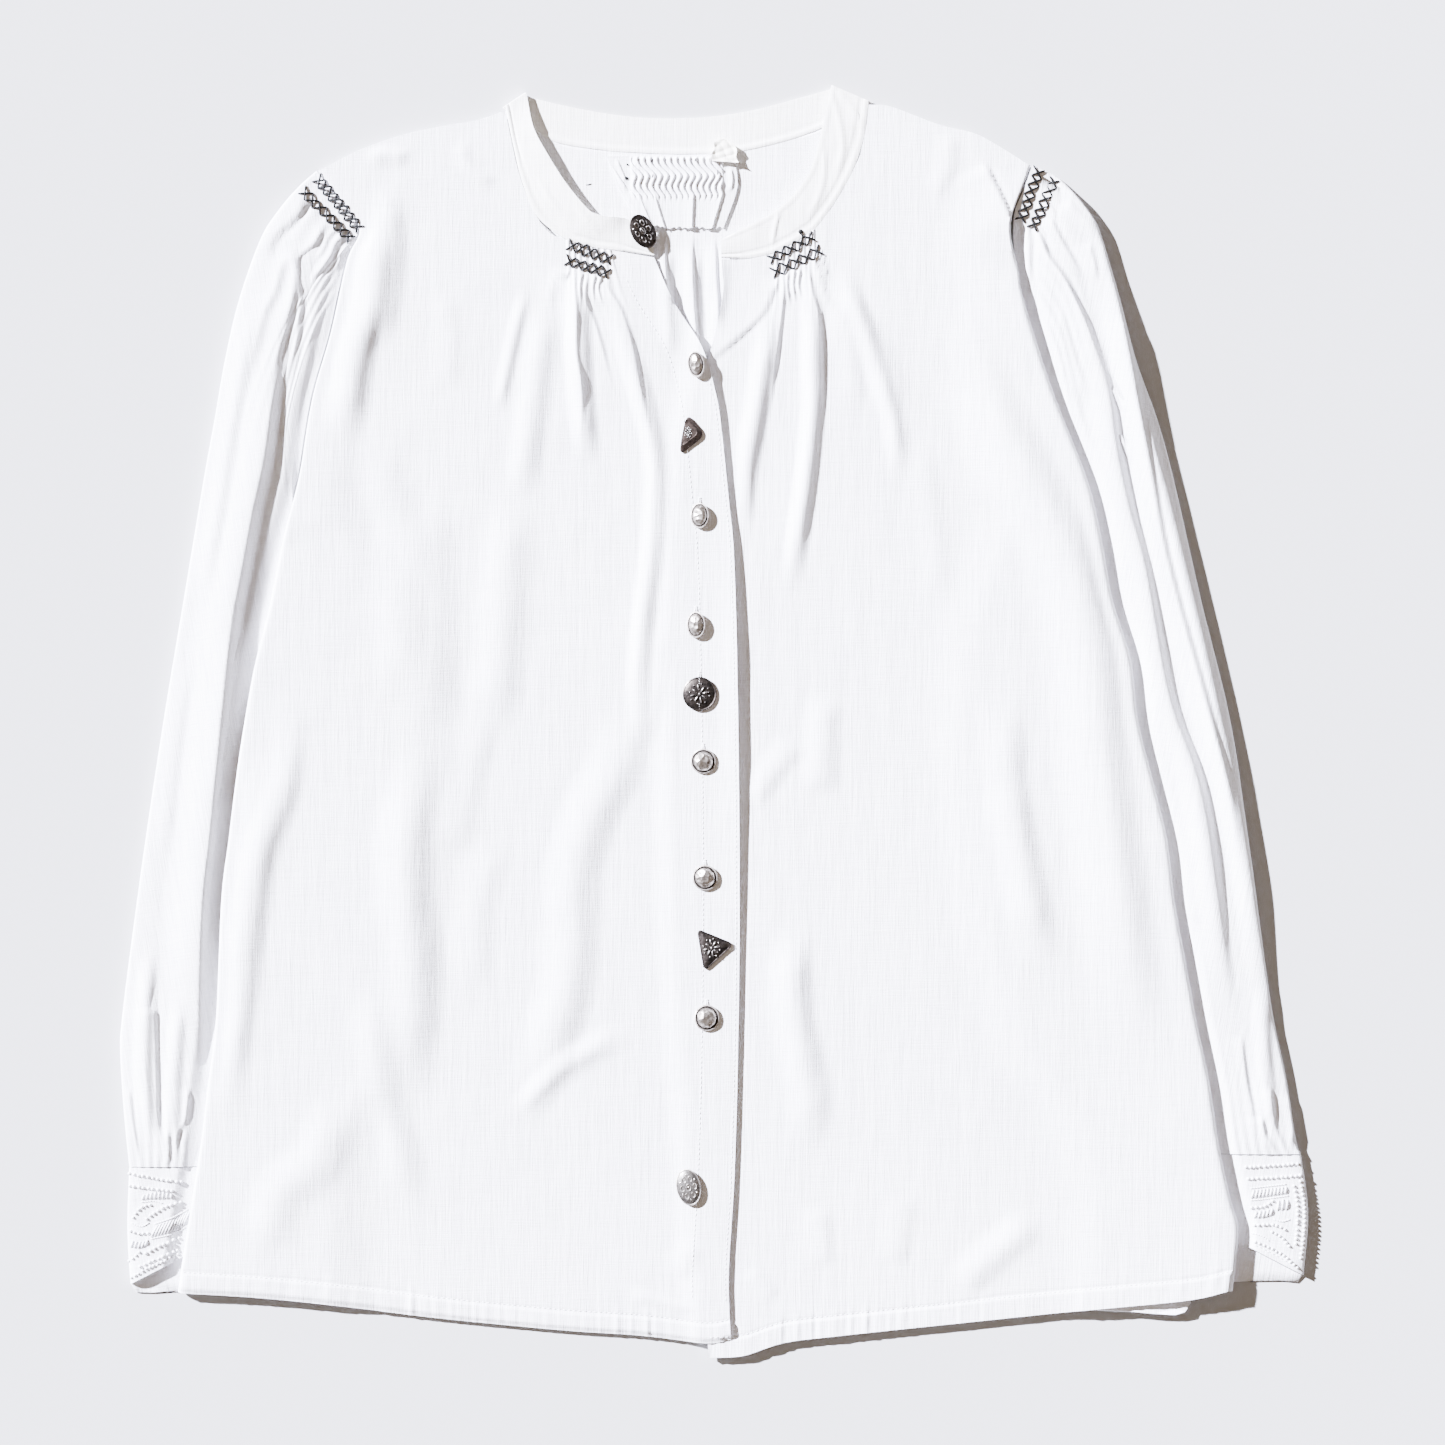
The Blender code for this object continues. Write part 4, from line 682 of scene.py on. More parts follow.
def front_cloth(side, look):
    """One front: smocked below the neckband, turned under at its side, with a stitched hem."""
    right = side == "right"
    shoulder, neck, smock, neck_front, hem, edge, placket = (
        (SHOULDER_RIGHT, NECK_RIGHT, SMOCK_RIGHT, NECK_FRONT_RIGHT, HEM_RIGHT, EDGE_RIGHT, PLACKET_RIGHT)
        if right
        else (SHOULDER_LEFT, NECK_LEFT, SMOCK_LEFT, NECK_FRONT_LEFT, HEM_LEFT, EDGE_LEFT, PLACKET_LEFT)
    )
    steps = [7 * n for n in (6, 4, 16, 2)]
    shares = (0.40, 0.12, 0.36, 0.12) if right else (0.44, 0.12, 0.30, 0.14)
    top = stations([(shoulder, steps[0]), (neck, steps[1]), (smock, steps[2]), (neck_front, steps[3])])
    bottom = at_share(curve(hem), spaced(list(zip(steps, shares))))
    v = np.linspace(0, 1, 241)
    patch = coons(top, bottom, at_share(curve(edge), v), at_share(curve(placket), v))
    at = row_shares(361, 1.3, 1.6)
    plan = remap(patch, at)
    x, y = plan[..., 0], plan[..., 1]
    columns = plan.shape[1]
    height = front_middle(side, x, y)
    # The gathers below the stitched rows, each of its own strength and length.
    first, last = steps[0] + steps[1], steps[0] + steps[1] + steps[2]
    q = (np.arange(columns) - first) / (last - first)
    inside = smooth(q / 0.04) * smooth((1 - q) / 0.04)
    place = np.clip(q, 0, 1) * NECK_GATHERS
    wave = 0.5 - 0.5 * np.cos(place * 2 * math.pi)
    dice = np.random.default_rng(11 if right else 12)
    ends = np.arange(NECK_GATHERS + 1)
    own = np.interp(place, ends, dice.uniform(0.75, 1.1, len(ends)))
    reach = np.interp(place, ends, dice.uniform(0.025, 0.05, len(ends)))
    fade = np.exp(-((at[:, None] / reach[None]) ** 1.5))
    height = height + 0.8 * own * wave * inside * fade
    if right:
        height = height - 1.6 * smooth(1 - (1 - at)[:, None] * PANEL_LENGTH / 3.4)
    extra, shift = rolled_side(plan, height, side)
    grid = np.dstack([plan, height])
    near = np.interp(np.arange(columns) / 7, [0, 1, 2, 3], [1.0, 0.6, 0.25, 0.0])
    grid += shift[:, None, :] * near[None, :, None]
    grid = np.concatenate([extra, grid], axis=1)
    normal = normals_of(grid)
    upright = np.clip((np.arange(grid.shape[1]) - TURNED_COLUMNS - 2) / 10.0, 0, 1)[None, :, None]
    normal = normal * (1 - upright) + np.array([0, 0, 1.0]) * upright
    normal /= np.linalg.norm(normal, axis=2, keepdims=True)
    relief = np.zeros(grid.shape[:2])
    calm = smooth(np.abs(x - x_at(PLACKET_CURVE[side], y)) / 6.0)
    if not right:
        calm = smooth((x - x_at(PLACKET_CURVE["right"], y) - 2) / 8.0)
    calm = calm * smooth(np.abs(x - x_at(EDGE_CURVE[side], y)) / 8.0)
    fine = fold_height(x, y, CREASES_RIGHT if right else CREASES_LEFT) * calm
    fine += gathered(x, y, GATHERS_RIGHT if right else GATHERS_LEFT)
    fine += 0.16 * uneven(x, y, 21 if right else 22) * calm
    fine += 0.10 * uneven(x * 2.2, y * 0.5, 23 if right else 24, 14, 40) * calm
    from_hem = (1 - at)[:, None] * PANEL_LENGTH
    fine = fine + hem_relief(x, from_hem)
    if right:
        # The line of stitches that holds the facing behind the buttonholes.
        from_edge = np.abs(x - x_at(PLACKET_CURVE[side], y))
        fine = fine - 0.22 * bell(from_edge - FACING_WIDTH, 0.8) * smooth(at[:, None] / 0.02)
        fine = fine + 0.18 * bell(from_edge - 0.8, 1.0)
        places, lifts = zip(*EDGE_LIFT)
        fine = fine + np.interp(y, places, lifts) * np.exp(-((from_edge / 7.0) ** 1.6))
    relief[:, TURNED_COLUMNS:] = fine
    outer = grid + normal * (CLOTH / 2 + relief)[..., None]
    plain = grid[::FINE_DOWN, ::FINE_ACROSS]
    inner = plain - normal[::FINE_DOWN, ::FINE_ACROSS] * (CLOTH / 2)
    piece = skin("front_" + side + "_cloth", outer, inner)
    dress(piece, "front_" + side, look)
    return outer


def back_cloth(look):
    """The back: box pleats released below the neck, a stitched hem, sides lifted by the sleeves."""
    sides = {}
    for side, top_y, low_y in (("right", 304, -309), ("left", 307, -319)):
        y = np.linspace(top_y, low_y, 300)
        sides[side] = np.stack([back_side_x(side, y), y], axis=1)
    steps = [5 * n for n in (5, 2, 28, 2, 5)]
    shares = (0.28, 0.08, 0.30, 0.08, 0.26)
    top = stations([
        (SHOULDER_RIGHT, steps[0]),
        (NECK_BACK_RIGHT, steps[1]),
        (NECK_BACK_SMOCK, steps[2]),
        (NECK_BACK_LEFT, steps[3]),
        (SHOULDER_LEFT[::-1], steps[4]),
    ])
    bottom = at_share(curve([tuple(sides["right"][-1])] + HEM_BACK[1:-1] + [tuple(sides["left"][-1])]),
                      spaced(list(zip(steps, shares))))
    v = np.linspace(0, 1, 241)
    patch = coons(top, bottom, at_share(sides["right"], v), at_share(sides["left"], v))
    at = row_shares(181, 2.6, 1.2)
    plan = remap(patch, at)
    x, y = plan[..., 0], plan[..., 1]
    middle = back_middle(x, y)
    from_hem = (1 - at)[:, None] * PANEL_LENGTH
    fine = 0.8 * fold_height(x, y, PLEATS_BACK) + hem_relief(x, from_hem) * smooth((50 - from_hem) / 20)
    fine += 0.08 * uneven(x, y, 31)
    outer = np.dstack([plan, middle + CLOTH / 2 + fine])
    flat = fold_height(x, y, FOLDS_BACK)
    inner = np.dstack([plan, middle - CLOTH / 2 - flat])[::FINE_DOWN, ::5]
    piece = skin("back_cloth", outer, inner)
    dress(piece, "back", look)
    return outer


# The released pleats inside the back neck: their right sides fall steeply.
PLEATS_BACK = [
    (2.4, 9, 1.6, [(-28, 271), (-28, 250), (-24, 222), (-18, 196)]),
    (2.6, 10, 1.6, [(-13, 271), (-13, 245), (-11, 215), (-8, 190)]),
    (2.6, 8, 1.6, [(-1, 271), (0, 245), (1, 220), (-2, 195)]),
    (1.6, 6, 1.6, [(-36, 271), (-35, 250), (-30, 225)]),
]


def wall_shares(seen_end, seen, hidden):
    """Shares across a tube's upper wall: even over what shows, and even over what is hidden."""
    return np.concatenate([np.linspace(0, seen_end, seen + 1), np.linspace(seen_end, 1, hidden + 1)[1:]])


def ring_shares(q, shares):
    """Place across a flattened tube for stations round it, with its outer edge rounded."""
    upper = len(shares) - 1
    lower = [1.0, *LOWER_SHARES, 0.0]
    here = np.where(q <= upper, np.interp(q, np.arange(upper + 1), shares),
                    np.interp(q - upper, np.arange(len(lower)), lower))
    first = np.clip(q, 0, 1)
    return np.where(q < 1, shares[1] * (1 - np.cos(first * math.pi / 2)), here)


def ring_heights(q, upper, top):
    """Height round a flattened tube: top over its upper wall, 0 under it, rounded at its edges."""
    last = upper + len(LOWER_SHARES) + 1
    z = np.where(q <= upper, top, 0.0)
    edge = top[..., :1] * 0.5
    z = np.where(q < 1, edge + (top - edge) * np.sin(np.clip(q, 0, 1) * math.pi / 2), z)
    bend = PRESSED * 0.5
    falling = top + (bend - top) * np.clip(q - upper + 1, 0, 1) ** 2
    z = np.where((q > upper - 1) & (q <= upper), falling, z)
    z = np.where((q > upper) & (q < upper + 1), bend * (1 - np.clip(q - upper, 0, 1)) ** 2, z)
    turn = np.clip(q - last + 1, 0, 1)
    return np.where(q > last - 1, edge * (1 - np.cos(turn * math.pi / 2)), z)


def rounded(share):
    """A quarter round: 0 at the edge, 1 from a share of 1 inwards."""
    return np.sqrt(np.clip(1 - (1 - np.clip(share, 0, 1)) ** 2, 0, 1))


def drawn_in(outer, upper, wall):
    """The inner face of a flattened tube from points of its outer face, one wall inside it."""
    inner = outer.copy()
    centre = (outer[:, :1, :2] + outer[:, upper:upper + 1, :2]) / 2
    width = np.linalg.norm(outer[:, 0, :2] - outer[:, upper, :2], axis=1)[:, None, None]
    inner[..., :2] += (centre - outer[..., :2]) * 2 * wall / width
    inner[:, 1:upper, 2] = np.maximum(outer[:, 1:upper, 2] - wall, wall + 0.2)
    inner[:, upper + 1:, 2] = wall
    return inner


def sleeve_surface(side, t, q, seen=16, hidden=4):
    """Outer points of a sleeve at shares t of its length and at stations q round it."""
    sign = OUTWARD[side]
    right = side == "right"
    outer_line = curve(OUTER_RIGHT if right else OUTER_LEFT)
    inner_line = curve(INNER_RIGHT if right else INNER_LEFT)
    seam = SEAM_CURVE[side]
    folds = FOLDS_SLEEVE_RIGHT if right else FOLDS_SLEEVE_LEFT
    creases = CREASES_SLEEVE_RIGHT if right else CREASES_SLEEVE_LEFT
    upper = seen + hidden
    a, b = at_share(outer_line, t), at_share(inner_line, np.interp(t, SLEEVE_OUTER, SLEEVE_HIDDEN))
    plan = np.zeros((len(t), len(q), 2))
    across = np.zeros((len(t), len(q)))
    probe = np.linspace(0, 1, 201)[:, None]
    for i in range(len(t)):
        line = a[i] + (b[i] - a[i]) * probe
        clear = clear_of_body(side, line[:, 0], line[:, 1]) > 1.0
        last = float(probe[clear][-1, 0]) if clear.any() else 0.3
        seen_end = 0.45 + (min(max(last, 0.3), 0.93) - 0.45) * float(smooth(t[i] / 0.22))
        width = np.linalg.norm(b[i] - a[i])
        shares = wall_shares(seen_end, seen, hidden)
        shares[1] = min(shares[1], 1.3 / width)
        s = ring_shares(q, shares)
        fade = float(smooth(1 - t[i] / 0.3))
        straight = seam[0] + (seam[-1] - seam[0]) * s[:, None]
        bow = at_share(seam, s) - straight + np.array([sign * SEAM_CLEAR, 0])
        plan[i] = a[i] + (b[i] - a[i]) * s[:, None] + bow * fade
        across[i] = s * width
    x, y = plan[..., 0], plan[..., 1]
    away = clear_of_body(side, x, y)
    mask = smooth((away - 1.5) / 9.0) * smooth(t / 0.06)[:, None]
    crown = rounded(across / 12.0)
    calm = smooth((1 - t) / 0.05)[:, None]
    ridges = fold_height(x, y, folds) * (0.35 + 0.65 * calm)
    wave = (0.5 - 0.5 * np.cos(math.pi * np.clip(q, 0, seen)))[None]
    head = np.exp(-((t / 0.16) ** 1.5))[:, None]
    cuff_end = np.exp(-(((1 - t) / 0.07) ** 1.5))[:, None]
    top = PRESSED + mask * (1.2 + 1.6 * crown + ridges)
    near_head = 0.45 * head * smooth(t / 0.03)[:, None] * smooth((away + 8) / 3)
    top = top + wave * (near_head + 0.45 * cuff_end * mask)
    fine = fold_height(x, y, creases) + gathered(x, y, GATHERS_SLEEVE_RIGHT if right else GATHERS_SLEEVE_LEFT)
    top = top + fine * smooth((away + 2) / 5.0) * smooth(t / 0.02)[:, None]
    top = top + 0.14 * uneven(x, y, 41 if right else 42) * mask
    if not right:
        top = top + 2.2 * smooth((y - 270) / 9) * smooth((away - 0.1) / 0.9) * smooth((16 - away) / 13)
    return np.dstack([plan, ring_heights(q[None], upper, top)])


def sleeve_cloth(side, look):
    """A full sleeve, gathered at its head and into its cuff, partly under the body."""
    around, sections = 28, 20
    q = np.arange(around * 5) / 5.0
    t = np.linspace(0, 1, sections * 16 + 1)
    outer = sleeve_surface(side, t, q)
    inner = drawn_in(sleeve_surface(side, t[::16], q[::5]), 20, SLEEVE_CLOTH)
    piece = skin("sleeve_" + side + "_cloth", outer, inner, around=True)
    dress(piece, "sleeve_" + side, look)
    return outer


# The slanted mouth of each cuff's upper wall, from its outer edge inwards.
CUFF_MOUTH = {
    "right": [(-322, -308), (-293, -293), (-267, -284), (-228, -280)],
    "left": [(323, -303), (294, -288), (266, -282), (228, -279)],
}


def cuff_surface(side, t, q, seen=12, hidden=3):
    """Outer points of a cuff: its upper mouth is cut on a slant."""
    right = side == "right"
    top_y = -244.0 if right else -237.0
    outer_x = [(-323, -244), (-324, -279), (-322, -313)] if right else [(322, -237), (326, -270), (323, -308)]
    hidden_x = -228.0 if right else 228.0
    mouth = CUFF_MOUTH[side]
    foot_y = -313.0 if right else -307.0
    mouth_line = np.array(mouth, float)
    order = np.argsort(mouth_line[:, 0])
    outer_curve = curve(outer_x)
    upper = seen + hidden
    head_y = top_y - GAP - 0.2
    points = np.zeros((len(t), len(q), 3))
    for i in range(len(t)):
        y_mean = head_y + (mouth[0][1] - top_y) * t[i]
        x0 = float(x_at(outer_curve, y_mean))
        edge = float(x_at(EDGE_CURVE[side], y_mean))
        width = abs(x0 - hidden_x)
        seen_end = np.clip((abs(x0 - edge) - 1.0) / width, 0.2, 0.7)
        shares = wall_shares(seen_end, seen, hidden)
        shares[1] = 1.2 / width
        s = ring_shares(q, shares)
        x = x0 + (hidden_x - x0) * s
        mouth_y = np.interp(x, mouth_line[order, 0], mouth_line[order, 1])
        upper_y = head_y + (mouth_y - top_y) * t[i]
        low_y = head_y + (foot_y - top_y) * t[i]
        # The lower wall ends further down than the slanted upper one.
        low = np.where(q > upper, 1.0, 0.0) * np.clip((q - upper) / 0.9, 0, 1)
        low *= np.clip((upper + len(LOWER_SHARES) + 1 - q) / 1.0, 0, 1)
        away = clear_of_body(side, x, upper_y)
        mask = smooth((away - 4.0) / 7.0)
        crown = rounded(np.abs(x - x0) / 7.0)
        top = PRESSED + mask * (0.9 + crown * (1.2 + 1.2 * t[i]))
        top = top + mask * (0.22 * uneven(x, upper_y, 51 if right else 52, 9, 26) + 0.12)
        points[i, :, 0] = x
        pleated = 0.6 * np.sin(x * 1.7) * t[i] ** 6
        points[i, :, 1] = upper_y + (low_y + pleated - upper_y) * low
        points[i, :, 2] = ring_heights(q, upper, top)
    return points


def cuff_cloth(side, look):
    """A shaped cuff, open at both ends."""
    around, sections = 23, 11
    q = np.arange(around * 7) / 7.0
    t = np.linspace(0, 1, sections * 10 + 1)
    outer = cuff_surface(side, t, q)
    inner = drawn_in(cuff_surface(side, t[::10], q[::7]), 15, CUFF_CLOTH)
    piece = skin("cuff_" + side + "_cloth", outer, inner, around=True)
    dress(piece, "cuff_" + side, look)
    return outer


def spline_rows(rows, fine):
    """Rows of a grid joined by a smooth curve, fine steps to each of them."""
    p = np.concatenate([2 * rows[:1] - rows[1:2], rows, 2 * rows[-1:] - rows[-2:-1]])
    out = []
    for i in range(1, len(p) - 2):
        out += [bent(*p[i - 1:i + 3], k / fine) for k in range(fine)]
    return np.array(out + [rows[-1]])


def band_rows():
    """Inner edge, foot and facing of the neckband, from its button end round the back."""

    def arm(inner_points, stretches, side):
        seam = stations(stretches)
        along = lengths_along(seam)
        inner_line = curve(inner_points)
        rows = []
        for q, share in zip(seam, along / along[-1]):
            p = at_share(inner_line, share)
            q = q + (p - q) * (BAND_CLEAR / max(np.linalg.norm(p - q), 1.5))
            heights = [float(front_middle(side, *point)) for point in (p, q)]
            rows.append((np.array([*p, heights[0]]), np.array([*q, heights[1]]), np.array([0, 0, 1.0])))
        return rows

    def turned(rows, outward):
        p, q, _ = rows[-1]
        out = np.array([*outward, 0.0])
        fall = (p[2] - BACK_MIDDLE) / 2
        drop = np.array([0, 0, fall])
        near, far = out * fall * 0.7, out * fall
        return [
            (p + near - drop * 0.3, q + near - drop * 0.3, out * 0.7 + np.array([0, 0, 0.7])),
            (p + far - drop, q + far - drop, out),
            (p + near - drop * 1.7, q + near - drop * 1.7, out * 0.7 - np.array([0, 0, 0.7])),
            (p - 2 * drop, q - 2 * drop, np.array([0, 0, -1.0])),
        ]

    right = arm(BAND_FRONT_RIGHT[::-1],
                [(NECK_FRONT_RIGHT[::-1], 2), (SMOCK_RIGHT[::-1], 4), (NECK_RIGHT[::-1], 4)], "right")
    left = arm(BAND_FRONT_LEFT[::-1],
               [(NECK_FRONT_LEFT[::-1], 2), (SMOCK_LEFT[::-1], 4), (NECK_LEFT[::-1], 4)], "left")
    turn_right, turn_left = turned(right, (-0.55, 0.83)), turned(left, (0.39, 0.92))
    top_line = curve(BAND_BACK_TOP)
    foot = stations([(NECK_BACK_RIGHT, 2), (NECK_BACK_SMOCK, 4), (NECK_BACK_LEFT, 2)])
    back = []
    for share, q in list(zip(np.linspace(0, 1, len(foot)), foot))[1:-1]:
        p = at_share(top_line, share)
        q = q + (p - q) * (BAND_CLEAR / np.linalg.norm(p - q))
        back.append((np.array([*p, BACK_MIDDLE]), np.array([*q, BACK_MIDDLE]), np.array([0, 0, -1.0])))
    return right + turn_right + back + turn_left[::-1] + left[::-1]


# Creases across the neckband where it turns at the shoulder and beside the smocking.
CREASES_BAND = [
    (0.9, 3.0, 1.6, [(62, 350), (67, 336), (70, 316), (66, 300)]),
    (0.8, 2.4, 1.2, [(64, 350), (74, 340), (82, 326)]),
    (0.7, 3.0, 1.6, [(58, 322), (60, 306), (57, 290), (50, 276)]),
    (0.7, 2.4, 1.2, [(36, 283), (33, 274), (31, 262)]),
    (0.6, 3.0, 1.4, [(-98, 300), (-92, 290), (-84, 280)]),
    (0.6, 2.4, 1.2, [(-78, 286), (-70, 276), (-62, 268)]),
]


def neckband_cloth(look):
    """The doubled band: softly rounded, with a stitched ridge along its foot."""
    rows = band_rows()
    ends = np.array([[p, q] for p, q, _ in rows])
    facing = np.array([face for _, _, face in rows])
    ends, facing = spline_rows(ends, 8), spline_rows(facing, 8)
    facing /= np.linalg.norm(facing, axis=1, keepdims=True)
    s = np.linspace(0, 1.04, 17)
    grid = ends[:, :1] * (1 - s)[None, :, None] + ends[:, 1:] * s[None, :, None]
    facing = np.repeat(facing[:, None], len(s), axis=1)
    x, y = grid[..., 0], grid[..., 1]
    # The wearer's right arm stands up along its inner edge.
    place = np.arange(len(grid)) / 80.0
    standing = smooth(place / 0.4) * smooth((1.0 - place) / 0.12)
    grid[..., 2] += 3.2 * standing[:, None] * (np.clip(1 - s, 0, 1) ** 1.5)[None]
    relief = 0.30 * np.sin(math.pi * s / 1.04)[None] ** 0.7 + 0.16 * uneven(x, y, 61, 9, 30)
    relief = relief + 0.45 * bell(s - 0.95, 0.05)[None] - 0.55 * bell(s - 0.85, 0.04)[None]
    rolled = 0.5 * bell(s - 0.05, 0.05)[None] * smooth(x / 10)
    relief = relief + rolled + fold_height(x, y, CREASES_BAND)
    over = np.clip(facing[..., 2], 0, 1)
    under = np.clip(-facing[..., 2], 0, 1)
    outer = grid + facing * (BAND_CLOTH / 2 + relief * over)[..., None]
    foot = 0.7 * bell(s - 0.98, 0.06)[None]
    inner = grid - facing * (BAND_CLOTH / 2 + (0.25 * relief + foot) * under)[..., None]
    piece = skin("neckband_cloth", outer, inner)
    dress(piece, "neckband", look)
    return outer


# Creases of the turned seam allowance beside the pleats of the strip.
SEAM_ALLOWANCE = [
    (1.0, 3.0, 1.0, [(-60, 309), (-54, 301), (-48, 292)]),
    (0.8, 2.5, 1.0, [(-55, 311), (-52, 304), (-49, 297)]),
    (0.9, 3.0, 1.2, [(8, 306), (9, 299), (8, 292)]),
]


def strip_cloth(look):
    """The gathered strip inside the back neck: zigzag pleats, opened out towards its cut foot."""
    columns, rows = 28, 5
    left_edge = [(-60, 312), (-52, 292), (-40, BACKING_FOOT)]
    right_edge = [(9, 312), (12, 296), (4, BACKING_FOOT)]
    u = np.linspace(0, 1, columns * 10 + 1)
    v = np.linspace(0, 1, rows * 18 + 1)
    a, b = at_share(curve(left_edge), v), at_share(curve(right_edge), v)
    plan = a[:, None] * (1 - u)[None, :, None] + b[:, None] * u[None, :, None]
    y = plan[..., 1]
    held = smooth((y - 286) / 8.0)
    # The held pleats lean one way and then the other.
    lean = 1.7 * np.sin((312 - y) * 2 * math.pi / 13.7) * held
    phase = (u[None] * 19 + lean / 3.6) % 1.0
    pleat = np.where(phase < 0.74, (phase / 0.74) ** 0.8, ((1 - phase) / 0.26) ** 1.3)
    boxes = np.zeros_like(y)
    for edge, rise in ((0.14, 0.8), (0.28, 1.1), (0.62, 1.2), (0.875, 1.1)):
        off = (u - edge)[None] + 0.03 * (v - 0.6)[:, None]
        boxes += rise * np.where(off < 0, np.exp(off / 0.10), np.exp(-off / 0.012))
    pleated = smooth((plan[..., 0] + 48) / 2.5) * smooth((4.5 - plan[..., 0]) / 1.5)
    relief = 1.7 * pleat * held * pleated + 1.2 * boxes * (1 - held)
    relief += fold_height(plan[..., 0], y, SEAM_ALLOWANCE) * (1 - pleated)
    relief *= smooth(v / 0.03)[:, None] * smooth(u / 0.03)[None] * smooth((1 - u) / 0.03)[None]
    # The cut foot is a little jagged.
    ragged = 0.8 * np.sin(u * 31.0) + 0.6 * np.sin(u * 57.0 + 1.0)
    plan[..., 1] += (v ** 6)[:, None] * np.abs(ragged)[None]
    base = BACK_MIDDLE + CLOTH / 2 + GAP
    outer = np.dstack([plan, base + SLEEVE_CLOTH + relief])
    inner = np.dstack([plan, np.full(y.shape, base)])[::18, ::10]
    piece = skin("smocking_backing_cloth", outer, inner)
    dress(piece, "smocking_backing", look)
    return outer


def label_cloth(look):
    """The bare loop label at the back neck, folded over and crumpled to a peak."""
    u, v = np.meshgrid(np.linspace(-1, 1, 33), np.linspace(-1, 1, 33))
    peak = 2.6 * (1 - np.abs(u) ** 1.3) * np.clip(v, 0, 1)
    x = 4.8 + 6.5 * u * (1 - 0.12 * v) + 0.5 * np.sin(v * 4.0)
    y = 313.6 + 5.0 * v + peak - 0.5 * u
    crumple = 0.5 * np.abs(np.sin(u * 3.6 + v * 2.2)) + 0.35 * np.abs(np.sin(u * 2.1 - v * 4.4 + 1.0))
    rim = 0.55 * bell(1 - np.abs(u), 0.14) + 0.5 * bell(1 + v, 0.16)
    seat = (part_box("label")[0].z - PLACE[2]) / MM
    outer = np.dstack([x, y, seat + 1.0 + crumple + rim])
    inner = np.dstack([x, y, np.full(x.shape, seat)])[::4, ::4]
    piece = skin("label_cloth", outer[::-1], inner[::-1])
    dress(piece, "label", look)
    return outer


class Nodes:
    """A short way to lay out a material's nodes."""

    def __init__(self, name):
        self.made = bpy.data.materials.new(name)
        self.made.use_nodes = True
        self.tree = self.made.node_tree
        self.shader = self.tree.nodes["Principled BSDF"]
        self.place = self.tree.nodes.new("ShaderNodeTexCoord").outputs["Object"]

    def link(self, a, b):
        self.tree.links.new(a, b)

    def mapped(self, scale, turn=0.0, shift=(0.0, 0.0, 0.0)):
        """Object coordinates turned about Z, then stretched."""
        turned = self.tree.nodes.new("ShaderNodeMapping")
        turned.inputs["Rotation"].default_value = (0.0, 0.0, turn)
        turned.inputs["Location"].default_value = shift
        self.link(self.place, turned.inputs["Vector"])
        made = self.tree.nodes.new("ShaderNodeMapping")
        made.inputs["Scale"].default_value = scale
        self.link(turned.outputs["Vector"], made.inputs["Vector"])
        return made.outputs["Vector"]

    def noise(self, vector, scale=1.0, detail=2.0, roughness=0.5, distortion=0.0):
        made = self.tree.nodes.new("ShaderNodeTexNoise")
        for key, value in (("Scale", scale), ("Detail", detail), ("Roughness", roughness),
                           ("Distortion", distortion)):
            made.inputs[key].default_value = value
        self.link(vector, made.inputs["Vector"])
        return made.outputs["Fac"]

    def bands(self, vector, axis):
        made = self.tree.nodes.new("ShaderNodeTexWave")
        made.wave_type = "BANDS"
        made.bands_direction = axis
        made.inputs["Scale"].default_value = 1.0
        made.inputs["Distortion"].default_value = 1.2
        made.inputs["Detail"].default_value = 1.0
        made.inputs["Detail Scale"].default_value = 0.4
        self.link(vector, made.inputs["Vector"])
        return made.outputs["Fac"]

    def cells(self, vector):
        made = self.tree.nodes.new("ShaderNodeTexVoronoi")
        made.inputs["Scale"].default_value = 1.0
        self.link(vector, made.inputs["Vector"])
        return made.outputs["Distance"]

    def math(self, kind, a, b):
        made = self.tree.nodes.new("ShaderNodeMath")
        made.operation = kind
        for socket, value in zip(made.inputs, (a, b)):
            if isinstance(value, (int, float)):
                socket.default_value = value
            else:
                self.link(value, socket)
        return made.outputs["Value"]

    def ramp(self, value, stops):
        made = self.tree.nodes.new("ShaderNodeValToRGB")
        line = made.color_ramp
        while len(line.elements) < len(stops):
            line.elements.new(0.5)
        for element, (at, colour) in zip(line.elements, stops):
            element.position = at
            element.color = (*colour, 1.0)
        self.link(value, made.inputs["Fac"])
        return made.outputs["Color"]

    def mix(self, share, a, b, kind="MIX"):
        made = self.tree.nodes.new("ShaderNodeMix")
        made.data_type = "RGBA"
        made.blend_type = kind
        for socket, value in ((made.inputs[0], share), (made.inputs[6], a), (made.inputs[7], b)):
            if isinstance(value, (int, float)):
                socket.default_value = value
            elif isinstance(value, tuple):
                socket.default_value = (*value, 1.0)
            else:
                self.link(value, socket)
        return made.outputs[2]

    def bump(self, height, distance, strength=1.0, under=None):
        made = self.tree.nodes.new("ShaderNodeBump")
        made.inputs["Distance"].default_value = distance
        made.inputs["Strength"].default_value = strength
        self.link(height, made.inputs["Height"])
        if under is not None:
            self.link(under, made.inputs["Normal"])
        return made.outputs["Normal"]

    def finish(self, colour=None, roughness=None, normal=None, **fixed):
        for key, value in fixed.items():
            self.shader.inputs[key.replace("_", " ")].default_value = value
        for key, value in (("Base Color", colour), ("Roughness", roughness), ("Normal", normal)):
            if value is not None:
                self.link(value, self.shader.inputs[key])
        return self.made


